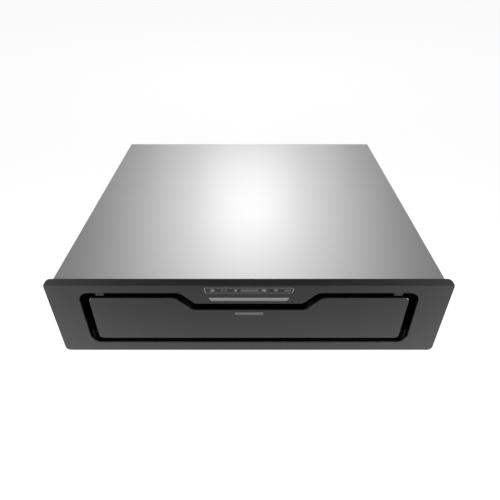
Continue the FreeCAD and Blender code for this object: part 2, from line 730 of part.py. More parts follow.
# ---------------------------------------------------------------- tilting panel, hinge and catches
def panel_skin():
    """The visible panel: a shallow pressed pan whose folded edges run back all round."""
    body = front_prism(panel_outline(), PANEL_FRONT, PANEL_REAR)
    body = round_front_edges(body, PANEL_FRONT, EDGE_ROUND)
    hollow = front_prism(panel_outline(PANEL_SKIN), PANEL_FRONT + PANEL_SKIN, PANEL_REAR)
    pan = body.cut(hollow)
    for side in (-1, 1):
        x = side * (PANEL_HALF + 1.0)
        pan = pan.cut(rod(PIN_RADIUS, PANEL_SKIN + 2.0, V(x, HINGE_Y, HINGE_Z), V(-side, 0, 0)))
    return pan


def panel_back():
    """Inner plate that closes the pan from behind."""
    return front_prism(panel_outline(PANEL_SKIN), PANEL_REAR - PANEL_BACK, PANEL_REAR)


def panel_badge():
    """Plain metal lozenge glued on the panel under the control lobe."""
    middle = PANEL_LOBE_LOW - BADGE_BELOW_LOBE
    low = middle - BADGE_HEIGHT / 2
    plate = front_prism(rounded_rectangle(BADGE_WIDTH / 2, low, low + BADGE_HEIGHT, BADGE_HEIGHT / 2 - 0.05),
                        PANEL_FRONT - BADGE_THICKNESS, PANEL_FRONT)
    return plate


HINGE_PIN_OUT = 11.0        # how far a hinge pin stands out from the panel's side


def hinge_pins():
    """Two stub pins riveted through the panel's side folds."""
    pins = []
    head = 1.5
    for side in (-1, 1):
        inner = side * (PANEL_HALF - PANEL_SKIN)
        pin = rod(PIN_RADIUS, PANEL_SKIN + HINGE_PIN_OUT, V(inner, HINGE_Y, HINGE_Z), V(side, 0, 0))
        flange = rod(PIN_RADIUS + 1.0, head, V(inner - side * head, HINGE_Y, HINGE_Z), V(side, 0, 0))
        pins.append(pin.fuse(flange).removeSplitter())
    return group(pins)


def hinge_plates():
    """Two black plates in the slot's lower corners that carry the panel's pins."""
    plates = []
    ahead = 5.0             # plate in front of the pin's axis
    above = 7.0             # and above it
    off_corner = 3.0        # plate's foot clear of the liner's rounded corner
    pin_end = PANEL_HALF + HINGE_PIN_OUT
    x0 = pin_end - HINGE_PLATE - 1.0
    low = CUT_LOW + CUTOUT_CORNER * 0.3 + off_corner
    for side in (-1, 1):
        plate = block(x0, x0 + HINGE_PLATE, HINGE_Y - ahead, FRAME_Y, low, HINGE_Z + above)
        start = V(x0 - HINGE_PLATE, HINGE_Y, HINGE_Z)
        plate = plate.cut(rod(PIN_RADIUS + PIN_CLEARANCE, 3 * HINGE_PLATE, start, X_AXIS))
        if side < 0:
            plate = plate.mirror(V(0, 0, 0), X_AXIS)
        plates.append(plate)
    return group(plates)


CATCH_SHEET = 1.2
CATCH_SETBACK = 2.0         # fascia's front plane to a bracket's nose
MAGNET_DROP = 13.0          # panel's top edge down to a magnet's middle
STRIKE_THICKNESS = 1.0
CATCH_BACK = PANEL_REAR + STRIKE_THICKNESS + FIT_GAP + MAGNET_LENGTH + CATCH_SHEET  # a bracket's rear face


def catch_xs():
    x = PANEL_HALF - CATCH_INSET
    return (-x, x)


def catch_brackets():
    """Two brackets over the panel's top edge: a short nose that shows in the slot, and a plate behind."""
    brackets = []
    nose_front = FRONT + CATCH_SETBACK
    nose_low = CUT_HIGH - CATCH_DROP
    plate_low = PANEL_HIGH - MAGNET_DROP - 9.0
    plate_high = CUT_HIGH + FASCIA_SKIN + LINER_WALL
    for x in catch_xs():
        x0 = x - CATCH_WIDTH / 2
        x1 = x + CATCH_WIDTH / 2
        nose = block(x0, x1, nose_front, nose_front + CATCH_SHEET, nose_low, CUT_HIGH)
        arm = block(x0, x1, nose_front, CATCH_BACK, nose_low, nose_low + CATCH_SHEET)
        plate = block(x0, x1, CATCH_BACK - CATCH_SHEET, CATCH_BACK, plate_low, plate_high)
        brackets.append(nose.fuse([arm, plate]).removeSplitter())
    return group(brackets)


def discs_on_catches(radius, thickness, y):
    """One disc for each catch, in line with its magnet."""
    z = PANEL_HIGH - MAGNET_DROP
    return group([rod(radius, thickness, V(x, y, z), Y_AXIS) for x in catch_xs()])


def catch_magnets():
    """Round magnets on the brackets that hold the panel shut."""
    return discs_on_catches(MAGNET_RADIUS - 1.2, MAGNET_LENGTH, CATCH_BACK - CATCH_SHEET - MAGNET_LENGTH)


def strike_plates():
    """Steel discs on the panel's back that the magnets pull on."""
    return discs_on_catches(MAGNET_RADIUS, STRIKE_THICKNESS, PANEL_REAR)


# ---------------------------------------------------------------- blower
def quarter_arc(centre, radius, start_deg, end_deg):
    """An arc in plan about a centre, from one angle to another."""
    points = []
    for degrees in (start_deg, (start_deg + end_deg) / 2, end_deg):
        t = math.radians(degrees)
        points.append(centre + V(radius * math.cos(t), radius * math.sin(t), 0))
    return Part.Arc(*points).toShape()


def scroll_wire(grow, y_end):
    """Closed wire of the scroll in plan: three arcs of growing radius, then a straight outlet to the rear."""
    r0, r1, r2 = [SCROLL_START + i * SCROLL_GROWTH + grow for i in range(3)]
    # The arcs join tangentially, so each centre moves by one growth step.
    first = V(BLOWER_X, BLOWER_Y, 0)
    second = V(first.x - r0 + r1, first.y, 0)
    third = V(second.x, second.y - r1 + r2, 0)
    outlet_right = third.x + r2
    outlet_left = outlet_right - 2 * OUTLET_HALF - 2 * grow
    tongue_y = first.y + math.sqrt(r0 ** 2 - (outlet_left - first.x) ** 2)
    tongue = V(outlet_left, tongue_y, 0)
    tongue_angle = math.degrees(math.atan2(tongue.y - first.y, tongue.x - first.x))
    corners = [V(outlet_right, third.y, 0), V(outlet_right, y_end, 0), V(outlet_left, y_end, 0), tongue]
    edges = [
        quarter_arc(first, r0, tongue_angle, 180),
        quarter_arc(second, r1, 180, 270),
        quarter_arc(third, r2, 270, 360),
    ]
    edges += [Part.LineSegment(a, b).toShape() for a, b in zip(corners, corners[1:])]
    return Part.Wire(edges)


def scroll_prism(grow, z0, z1, y_end):
    solid = Part.Face(scroll_wire(grow, y_end)).extrude(V(0, 0, z1 - z0))
    solid.translate(V(0, 0, z0))
    return solid


OUTLET_Y = REAR - 46.0      # where the scroll ends and the outlet adapter starts


def scroll_lower():
    """Lower half of the blower's scroll: floor with the round inlet, and the side wall."""
    split = SCROLL_TOP - SCROLL_WALL
    body = scroll_prism(SCROLL_WALL, SCROLL_LOW, split, OUTLET_Y)
    hollow = scroll_prism(0, SCROLL_LOW + SCROLL_WALL, split, OUTLET_Y)
    floor_hole = rod(INLET_RADIUS + SCROLL_WALL, 3 * SCROLL_WALL,
                     V(BLOWER_X, BLOWER_Y, SCROLL_LOW - SCROLL_WALL), Z_AXIS)
    return body.cut(hollow).cut(floor_hole)


def scroll_lid():
    """Upper plate of the scroll, with the hole that the motor hangs in."""
    body = scroll_prism(SCROLL_WALL, SCROLL_TOP - SCROLL_WALL, SCROLL_TOP, OUTLET_Y)
    middle = V(BLOWER_X, BLOWER_Y, SCROLL_TOP - 2 * SCROLL_WALL)
    body = body.cut(rod(MOTOR_RADIUS + 4.0, 3 * SCROLL_WALL, middle, Z_AXIS))
    for x, y in motor_bolts():
        body = body.cut(screw_hole(V(x, y, SCROLL_TOP), V(0, 0, -1), SCROLL_WALL))
    return body


def inlet_ring():
    """Flared ring that leads air from under the scroll into the impeller."""
    lip = 8.0
    wall = 1.6
    r = INLET_RADIUS
    low = SCROLL_LOW - wall
    high = ROTOR_TOP - IMPELLER_HEIGHT + 3.0
    flare = 1.5
    profile = [V(r + lip, 0, low), V(r + lip, 0, SCROLL_LOW), V(r + wall, 0, SCROLL_LOW),
               V(r + wall, 0, high), V(r, 0, high), V(r, 0, SCROLL_LOW), V(r + flare, 0, low),
               V(r + lip, 0, low)]
    ring = Part.Face(Part.makePolygon(profile)).revolve(V(0, 0, 0), Z_AXIS, 360)
    ring.translate(V(BLOWER_X, BLOWER_Y, 0))
    return ring


def inlet_guard():
    """Finger guard under the inlet: four rings on two crossed bars."""
    wire = 2.0
    high = SCROLL_LOW - 1.6
    centre = V(BLOWER_X, BLOWER_Y, high - wire)
    reach = INLET_RADIUS + 6.0
    half = wire / 2
    bars = [block(-reach, reach, -half, half, 0, wire), block(-half, half, -reach, reach, 0, wire)]
    for bar in bars:
        bar.translate(centre)
    outermost = INLET_RADIUS + wire
    pitch = 20.0
    radii = [outermost - i * pitch for i in range(4)]
    rings = [tube(radius + half, radius - half, wire, centre, Z_AXIS) for radius in radii]
    return rings[0].fuse(rings[1:] + bars).removeSplitter()


def motor_bolts():
    reach = MOTOR_RADIUS + 12.0
    return [(BLOWER_X + reach * math.cos(t), BLOWER_Y + reach * math.sin(t))
            for t in (math.radians(30 + 120 * i) for i in range(3))]


GROMMET_HEIGHT = 3.0
BRACKET_THICKNESS = 2.0
MOTOR_TOP = SCROLL_TOP + GROMMET_HEIGHT         # motor hangs under its bracket
ROTOR_TOP = SCROLL_TOP - SCROLL_WALL - 5.0      # impeller's upper rim
HUB_Z = MOTOR_TOP - MOTOR_HEIGHT - 8.0          # impeller's back plate, under the motor


def motor():
    """Motor can with cooling slots, hanging in the impeller."""
    low = MOTOR_TOP - MOTOR_HEIGHT
    boss_height = 4.0
    can = rod(MOTOR_RADIUS, MOTOR_HEIGHT, V(BLOWER_X, BLOWER_Y, low), Z_AXIS)
    can = can.fuse(rod(14.0, boss_height, V(BLOWER_X, BLOWER_Y, low - boss_height), Z_AXIS))
    slot_half = 2.0
    slot_depth = 4.0
    slot_count = 12
    for i in range(slot_count):
        slot = block(-slot_half, slot_half, MOTOR_RADIUS - slot_depth, MOTOR_RADIUS + slot_depth,
                     low + 12.0, MOTOR_TOP - 16.0)
        slot.rotate(V(0, 0, 0), Z_AXIS, 360.0 / slot_count * i)
        slot.translate(V(BLOWER_X, BLOWER_Y, 0))
        can = can.cut(slot)
    bearing = rod(SHAFT_RADIUS + 0.05, MOTOR_HEIGHT, V(BLOWER_X, BLOWER_Y, low - boss_height - 1.0), Z_AXIS)
    return can.cut(bearing)


def motor_bracket():
    """Plate over the motor with three arms bolted to the scroll's lid."""
    reach = MOTOR_RADIUS + 19.0
    half = 8.0
    plate = rod(MOTOR_RADIUS, BRACKET_THICKNESS, V(BLOWER_X, BLOWER_Y, MOTOR_TOP), Z_AXIS)
    for i in range(3):
        arm = block(0, reach, -half, half, MOTOR_TOP, MOTOR_TOP + BRACKET_THICKNESS)
        arm.rotate(V(0, 0, 0), Z_AXIS, 30 + 120 * i)
        arm.translate(V(BLOWER_X, BLOWER_Y, 0))
        plate = plate.fuse(arm)
    for x, y in motor_bolts():
        plate = plate.cut(screw_hole(V(x, y, MOTOR_TOP), Z_AXIS, BRACKET_THICKNESS))
    return plate.removeSplitter()


def motor_grommets():
    """Rubber rings between the motor bracket and the scroll's lid."""
    return group([tube(6.0, SCREW_RADIUS + SCREW_CLEARANCE, GROMMET_HEIGHT, V(x, y, SCROLL_TOP), Z_AXIS)
                  for x, y in motor_bolts()])


def blade(angle_deg):
    """One forward-curved blade between the back plate and the upper rim."""
    r_out = IMPELLER_RADIUS - 0.5
    r_in = IMPELLER_RADIUS - BLADE_CHORD
    sweep = 9.0

    def at(radius, degrees):
        t = math.radians(angle_deg + degrees)
        return V(BLOWER_X + radius * math.cos(t), BLOWER_Y + radius * math.sin(t), 0)

    half_turn = math.degrees(BLADE_THICKNESS / 2 / IMPELLER_RADIUS)
    mid = (r_in + r_out) / 2
    inner_a = at(r_in, -half_turn)
    inner_b = at(r_in, half_turn)
    outer_a = at(r_out, sweep - half_turn)
    outer_b = at(r_out, sweep + half_turn)
    edges = [
        Part.Arc(inner_a, at(mid, sweep * 0.2 - half_turn), outer_a).toShape(),
        Part.LineSegment(outer_a, outer_b).toShape(),
        Part.Arc(outer_b, at(mid, sweep * 0.2 + half_turn), inner_b).toShape(),
        Part.LineSegment(inner_b, inner_a).toShape(),
    ]
    vane = Part.Face(Part.Wire(edges)).extrude(V(0, 0, IMPELLER_HEIGHT - 2.0))
    vane.translate(V(0, 0, ROTOR_TOP - IMPELLER_HEIGHT + 1.0))
    return vane


def impeller():
    """Moulded wheel: dished back plate, blades, and a rim at each end."""
    low = ROTOR_TOP - IMPELLER_HEIGHT
    centre = V(BLOWER_X, BLOWER_Y, 0)
    rim_wall = 2.5
    wheel = tube(IMPELLER_RADIUS, IMPELLER_RADIUS - BLADE_CHORD, rim_wall, centre + V(0, 0, low), Z_AXIS)
    wheel = wheel.fuse(tube(IMPELLER_RADIUS, IMPELLER_RADIUS - BLADE_CHORD - 1.0, rim_wall,
                            centre + V(0, 0, ROTOR_TOP - rim_wall), Z_AXIS))
    dish_radius = MOTOR_RADIUS + 6.0
    dish = [V(SHAFT_RADIUS, 0, HUB_Z), V(dish_radius, 0, HUB_Z),
            V(IMPELLER_RADIUS - BLADE_CHORD, 0, ROTOR_TOP - rim_wall),
            V(IMPELLER_RADIUS - BLADE_CHORD, 0, ROTOR_TOP),
            V(dish_radius - 1.0, 0, HUB_Z + 2.5), V(SHAFT_RADIUS, 0, HUB_Z + 2.5), V(SHAFT_RADIUS, 0, HUB_Z)]
    plate = Part.Face(Part.makePolygon(dish)).revolve(V(0, 0, 0), Z_AXIS, 360)
    plate.translate(centre)
    hub = tube(11.0, SHAFT_RADIUS, 10.0, centre + V(0, 0, HUB_Z - 10.0), Z_AXIS)
    wheel = wheel.fuse([plate, hub])
    return wheel.fuse([blade(360.0 * i / BLADE_COUNT) for i in range(BLADE_COUNT)])


def motor_shaft():
    """Shaft that turns in the motor and carries the impeller."""
    low = HUB_Z - 18.0
    return rod(SHAFT_RADIUS, MOTOR_TOP - 12.0 - low, V(BLOWER_X, BLOWER_Y, low), Z_AXIS)


def shaft_nut():
    """Left-hand nut under the impeller's hub."""
    nut = plan_prism(hexagon(BLOWER_X, BLOWER_Y, 7.5), HUB_Z - 16.0, HUB_Z - 10.0)
    return nut.cut(rod(SHAFT_RADIUS, 12.0, V(BLOWER_X, BLOWER_Y, HUB_Z - 20.0), Z_AXIS))


def blower_posts():
    """Four posts that carry the scroll above the base."""
    reach_x = 92.0
    reach_y = 62.0
    post_radius = 7.0
    flange_radius = 12.0
    flange = 2.0
    low = BODY_LOW + SHEET
    posts = []
    for x in (BLOWER_X - reach_x, BLOWER_X + reach_x):
        for y in (BLOWER_Y - reach_y, BLOWER_Y + reach_y):
            post = rod(post_radius, SCROLL_LOW - low, V(x, y, low), Z_AXIS)
            posts.append(post.fuse(rod(flange_radius, flange, V(x, y, low), Z_AXIS)))
    return group(posts)


# ---------------------------------------------------------------- outlet
ADAPTER_FRONT = OUTLET_Y
RING_REAR = REAR + DUCT_LENGTH


def outlet_adapter():
    """Moulded piece from the scroll's rectangular outlet to the round hole in the rear wall."""
    z0 = SCROLL_LOW + SCROLL_WALL
    z1 = SCROLL_TOP - SCROLL_WALL
    wall = 1.6
    y0 = ADAPTER_FRONT
    y1 = REAR - SHEET

    def section(grow, y, is_round):
        if is_round:
            circle = Part.Circle(V(0, y, DUCT_Z), Y_AXIS, DUCT_BORE + grow)
            return Part.Wire([circle.toShape()])
        corners = rounded_rectangle(OUTLET_HALF + grow, z0 - grow, z1 + grow, 10.0)
        return rounded_wire(corners, lambda p: V(p.x, y, p.y))

    outer = Part.makeLoft([section(wall, y0, False), section(wall, y1, True)], True)
    inner = Part.makeLoft([section(0, y0, False), section(0, y1, True)], True)
    return outer.cut(inner)


COLLAR_RIM = 6.0            # width of the collar's flange
COLLAR_EAR = 14.0           # how far its two screw ears reach past the collar
COLLAR_PLATE = 2.0


def collar_screws():
    reach = DUCT_RADIUS + COLLAR_EAR - 5.0
    return [(V(x, REAR + COLLAR_PLATE, DUCT_Z), V(0, -1, 0)) for x in (-reach, reach)]


def duct_collar():
    """Round spigot that the duct slides over, with a flange screwed to the rear wall and a damper stop."""
    start = V(0, REAR, DUCT_Z)
    spigot = tube(DUCT_RADIUS, DUCT_BORE, DUCT_LENGTH, start, Y_AXIS)
    ear_reach = DUCT_RADIUS + COLLAR_EAR
    ear_half = 9.0
    ears = block(-ear_reach, ear_reach, REAR, REAR + COLLAR_PLATE, DUCT_Z - ear_half, DUCT_Z + ear_half)
    flange = rod(DUCT_RADIUS + COLLAR_RIM, COLLAR_PLATE, start, Y_AXIS).fuse(ears)
    flange = flange.cut(rod(DUCT_BORE, COLLAR_PLATE, start, Y_AXIS))
    collar = spigot.fuse(flange)
    into_wall = 0.2
    stop_width = 2.5
    stop_thickness = 1.5
    stop_ahead = 3.2        # stop's front face ahead of the pin
    stop = tube(DUCT_BORE + into_wall, DUCT_BORE - stop_width, stop_thickness,
                V(0, FLAP_Y - stop_ahead, DUCT_Z), Y_AXIS)
    collar = collar.fuse(stop)
    for z0, z1 in pin_seats():
        seat = rod(4.0, z1 - z0, V(0, FLAP_Y, z0), Z_AXIS)
        seat = seat.common(rod(DUCT_BORE + into_wall, DUCT_LENGTH, start, Y_AXIS))
        collar = collar.fuse(seat)
    pin_reach = DUCT_BORE - 1.0
    collar = collar.cut(rod(FLAP_PIN_RADIUS, 2 * pin_reach, V(0, FLAP_Y, DUCT_Z - pin_reach), Z_AXIS))
    for at, axis in collar_screws():
        collar = collar.cut(screw_hole(at, axis, COLLAR_PLATE))
    return collar.removeSplitter()


FLAP_Y = REAR + 6.0         # axis of the damper's pin


def pin_seats():
    seat = 4.0
    low = DUCT_Z - DUCT_BORE
    high = DUCT_Z + DUCT_BORE
    return ((low, low + seat), (high - seat, high))


def damper_pin():
    """Upright pin that both flaps swing on."""
    reach = DUCT_BORE - 1.0
    return rod(FLAP_PIN_RADIUS, 2 * reach, V(0, FLAP_Y, DUCT_Z - reach), Z_AXIS)


def damper_flap(side):
    """Half-moon flap with two knuckles round the pin; the two flaps' knuckles alternate along it."""
    radius = DUCT_BORE - 1.0
    past_pin = 3.2          # straight edge of the half moon beside the pin
    trim = 7.0              # cut off at the top and bottom to clear the pin's seats
    knuckle_radius = 3.0
    knuckle_length = 11.0
    half = FLAP_THICKNESS / 2
    disc = rod(radius, FLAP_THICKNESS, V(0, FLAP_Y - half, DUCT_Z), Y_AXIS)
    reach = radius - trim
    flap = disc.common(block(past_pin, radius, FLAP_Y - half, FLAP_Y + half, DUCT_Z - reach, DUCT_Z + reach))
    knuckle_lows = (-34.0, 10.0) if side > 0 else (-20.0, 24.0)
    for rise in knuckle_lows:
        z = DUCT_Z + rise
        knuckle = rod(knuckle_radius, knuckle_length, V(0, FLAP_Y, z), Z_AXIS)
        web = block(0, past_pin + 1.0, FLAP_Y - half, FLAP_Y + half, z, z + knuckle_length)
        flap = flap.fuse([knuckle, web])
    flap = flap.cut(rod(FLAP_PIN_RADIUS + PIN_CLEARANCE, 2 * radius, V(0, FLAP_Y, DUCT_Z - radius), Z_AXIS))
    if side < 0:
        flap = flap.mirror(V(0, 0, 0), X_AXIS)
    return flap.removeSplitter()


def damper_spring():
    """Small torsion spring on the pin between the flaps' knuckles."""
    coils = []
    wire = 0.4
    low = DUCT_Z - 5.0
    for i in range(4):
        z = low + 2 * i * wire
        coils.append(Part.makeTorus(FLAP_PIN_RADIUS + wire, wire, V(0, FLAP_Y, z), Z_AXIS))
    return group(coils)


# ---------------------------------------------------------------- electrics
GLAND_SHANK = 8.0
GLAND_Z = BODY_LOW + 34.0
BOX_X1 = BODY_HALF - 24.0
BOX_X0 = BOX_X1 - BOX_WIDTH
GLAND_X = (BOX_X0 + BOX_X1) / 2
BOX_Y1 = REAR - 30.0
BOX_Y0 = BOX_Y1 - BOX_LENGTH
BOX_Z0 = BODY_LOW + SHEET
BOX_Z1 = BOX_Z0 + BOX_HEIGHT
LOOM_RADIUS = 3.0
LOOM_IN_BOX = 14.0          # box's front wall to where the loom drops in
LOOM_BEND = 10.0            # how far before a corner the loom starts to turn
LOOM_X = BODY_HALF - 38.0
LOOM_Z = CUT_HIGH + FASCIA_SKIN + LINER_WALL + 0.7 + LOOM_RADIUS
POD_LOOM_X = POD_HALF_WIDTH - POD_WALL - 8.0


def control_box():
    """Open-topped plastic box on the base that holds the main board."""
    box = block(BOX_X0, BOX_X1, BOX_Y0, BOX_Y1, BOX_Z0, BOX_Z1)
    hollow = block(BOX_X0 + BOX_WALL, BOX_X1 - BOX_WALL, BOX_Y0 + BOX_WALL, BOX_Y1 - BOX_WALL,
                   BOX_Z0 + BOX_WALL, BOX_Z1)
    cable_hole = rod(6.0, 3 * BOX_WALL, V(GLAND_X, BOX_Y1 - 2 * BOX_WALL, GLAND_Z), Y_AXIS)
    return box.cut(hollow).cut(cable_hole)


def control_box_lid():
    """Snap-on lid with a row of vents."""
    lid = block(BOX_X0, BOX_X1, BOX_Y0, BOX_Y1, BOX_Z1, BOX_Z1 + BOX_WALL)
    middle = (BOX_X0 + BOX_X1) / 2
    first = 40.0
    pitch = 9.0
    half = 22.0
    width = 3.0
    for i in range(9):
        y = BOX_Y0 + first + pitch * i
        lid = lid.cut(block(middle - half, middle + half, y, y + width, BOX_Z1, BOX_Z1 + BOX_WALL))
    entry = V(LOOM_X, BOX_Y0 + LOOM_IN_BOX, BOX_Z1 - BOX_WALL)
    return lid.cut(rod(LOOM_RADIUS + 1.0, 3 * BOX_WALL, entry, Z_AXIS))


def main_board():
    """Power board with relays and a transformer."""
    x0 = BOX_X0 + BOX_WALL + 2.0
    x1 = BOX_X1 - BOX_WALL - 2.0
    y0 = BOX_Y0 + BOX_WALL + 26.0
    y1 = BOX_Y1 - BOX_WALL - 20.0
    z = BOX_Z0 + BOX_WALL + 5.0
    board = block(x0, x1, y0, y1, z, z + BOARD)
    top = z + BOARD
    # Transformer, two relays and a filter coil: corner on the board, length, width and height.
    placed = ((5, 6, 28, 34, 24), (42, 8, 16, 20, 15), (42, 34, 16, 20, 15), (6, 50, 20, 16, 10))
    parts = [block(x0 + dx, x0 + dx + length, y0 + dy, y0 + dy + width, top, top + height)
             for dx, dy, length, width, height in placed]
    stands = [rod(3.0, 5.0, V(x, y, BOX_Z0 + BOX_WALL), Z_AXIS)
              for x in (x0 + 5, x1 - 5) for y in (y0 + 4, y1 - 4)]
    return board.fuse(parts + stands)


def terminal_block():
    """Three-way screw terminal for the mains lead."""
    x0 = GLAND_X - 16.0
    y1 = BOX_Y1 - BOX_WALL - 2.0
    z0 = BOX_Z0 + BOX_WALL
    body = block(x0, x0 + 32.0, y1 - 14.0, y1, z0, z0 + 14.0)
    for i in range(3):
        x = x0 + 6.0 + 10.0 * i
        body = body.cut(rod(2.6, 6.0, V(x, y1 - 7.0, z0 + 9.0), Z_AXIS))
    return body


CAPACITOR_RADIUS = 15.0
CAPACITOR_LENGTH = 60.0
CLIP_THICKNESS = 1.0
CAPACITOR_X = BOX_X0 - 30.0
CAPACITOR_Y = BOX_Y0 + 6.0
CAPACITOR_Z = BODY_LOW + SHEET + CLIP_THICKNESS + CAPACITOR_RADIUS


def run_capacitor():
    """Motor capacitor clipped to the base beside the blower, with two flat terminals."""
    x, y, z = CAPACITOR_X, CAPACITOR_Y, CAPACITOR_Z
    apart = 4.0
    length = 8.0
    half_width = 3.0
    can = rod(CAPACITOR_RADIUS, CAPACITOR_LENGTH, V(x, y, z), Y_AXIS)
    for step in (apart, -apart):
        can = can.fuse(block(x + step - 1.0, x + step + 1.0, y - length, y, z - half_width, z + half_width))
    return can


def capacitor_clip():
    """Sprung strap that holds the capacitor on the base."""
    x, z = CAPACITOR_X, CAPACITOR_Z
    width = 12.0
    y = CAPACITOR_Y + 22.0
    low = BODY_LOW + SHEET
    outer = CAPACITOR_RADIUS + CLIP_THICKNESS
    mouth = 6.0             # where the strap's ends stop above the capacitor's middle
    foot_half = 24.0
    strap = tube(outer, CAPACITOR_RADIUS, width, V(x, y, z), Y_AXIS)
    strap = strap.cut(block(x - outer, x + outer, y, y + width, z + mouth, z + outer))
    feet = block(x - foot_half, x + foot_half, y, y + width, low, low + CLIP_THICKNESS)
    feet = feet.cut(rod(CAPACITOR_RADIUS, width, V(x, y, z), Y_AXIS))
    above_base = block(x - foot_half, x + foot_half, y, y + width, low, z + outer)
    return strap.fuse(feet).common(above_base).removeSplitter()


GLAND_GRIP = 6.0            # thickness of the gland's hexagon
GLAND_INSIDE = 6.0          # thread inside the rear wall


def cable_gland():
    """Screwed gland in the rear wall with a free bore for a mains lead."""
    dome_length = 9.0
    at = V(GLAND_X, REAR - SHEET - GLAND_INSIDE, GLAND_Z)
    shank = rod(GLAND_SHANK, GLAND_INSIDE + SHEET, at, Y_AXIS)
    grip = front_prism(hexagon(GLAND_X, GLAND_Z, 11.0), REAR, REAR + GLAND_GRIP)
    dome = Part.makeCone(9.0, 6.5, dome_length, V(GLAND_X, REAR + GLAND_GRIP, GLAND_Z), Y_AXIS)
    gland = shank.fuse([grip, dome])
    length = GLAND_INSIDE + SHEET + GLAND_GRIP + dome_length
    return gland.cut(rod(GLAND_BORE_RADIUS, length, at, Y_AXIS)).removeSplitter()


def gland_nut():
    """Hexagon nut that clamps the gland from inside."""
    thick = 4.5
    rear = REAR - SHEET
    nut = front_prism(hexagon(GLAND_X, GLAND_Z, 11.5), rear - thick, rear)
    return nut.cut(rod(GLAND_SHANK, thick, V(GLAND_X, rear - thick, GLAND_Z), Y_AXIS))


def wiring_loom():
    """Sleeved loom from the control pod along the right-hand wall down into the control box."""
    pod_rear = FRONT + POD_DEPTH
    run_y = pod_rear + 12.0
    drop_y = BOX_Y0 + LOOM_IN_BOX
    route = [V(POD_LOOM_X, pod_rear - POD_WALL - 1.0, LOOM_Z), V(POD_LOOM_X, run_y, LOOM_Z),
             V(LOOM_X, run_y, LOOM_Z), V(LOOM_X, drop_y, LOOM_Z), V(LOOM_X, drop_y, BOX_Z1 - 4.0)]
    edges = []
    last = route[0]
    for i in range(1, len(route) - 1):
        back = route[i - 1] - route[i]
        ahead = route[i + 1] - route[i]
        cut_back = min(LOOM_BEND, 0.45 * min(back.Length, ahead.Length))
        back.normalize()
        ahead.normalize()
        turn = math.pi - back.getAngle(ahead)
        radius = cut_back / math.tan(turn / 2)
        start = route[i] + back * cut_back
        end = route[i] + ahead * cut_back
        inward = back + ahead
        inward.normalize()
        middle = route[i] + inward * (radius / math.cos(turn / 2) - radius)
        edges.append(Part.LineSegment(last, start).toShape())
        edges.append(Part.Arc(start, middle, end).toShape())
        last = end
    edges.append(Part.LineSegment(last, route[-1]).toShape())
    path = Part.Wire(edges)
    section = Part.Wire([Part.Circle(route[0], Y_AXIS, LOOM_RADIUS).toShape()])
    return path.makePipeShell([section], True, True)


# ---------------------------------------------------------------- fixing springs at the sides
def fixing_springs():
    """Leaf springs on both sides that grip the cabinet until the screws are in."""
    springs = []
    length = 60.0
    width = 16.0
    bow = 7.0
    thick = 0.8
    tab = 8.0
    y0 = BODY_FRONT + 70.0
    y1 = y0 + length
    z0 = (BODY_LOW + BODY_HIGH) / 2 - width / 2
    for side in (-1, 1):
        inner = [V(BODY_HALF, y0, z0), V(BODY_HALF + bow, (y0 + y1) / 2, z0), V(BODY_HALF, y1, z0)]
        shift = V(thick, 0, 0)
        outer = [p + shift for p in inner]
        leaf = Part.Face(Part.Wire([
            Part.LineSegment(inner[0], outer[0]).toShape(), Part.Arc(*outer).toShape(),
            Part.LineSegment(outer[2], inner[2]).toShape(), Part.Arc(*reversed(inner)).toShape(),
        ])).extrude(V(0, 0, width))
        for start in (y0 - tab, y1):
            leaf = leaf.fuse(block(BODY_HALF, BODY_HALF + thick, start, start + tab, z0, z0 + width))
        if side < 0:
            leaf = leaf.mirror(V(0, 0, 0), X_AXIS)
        springs.append(leaf.removeSplitter())
    return group(springs)


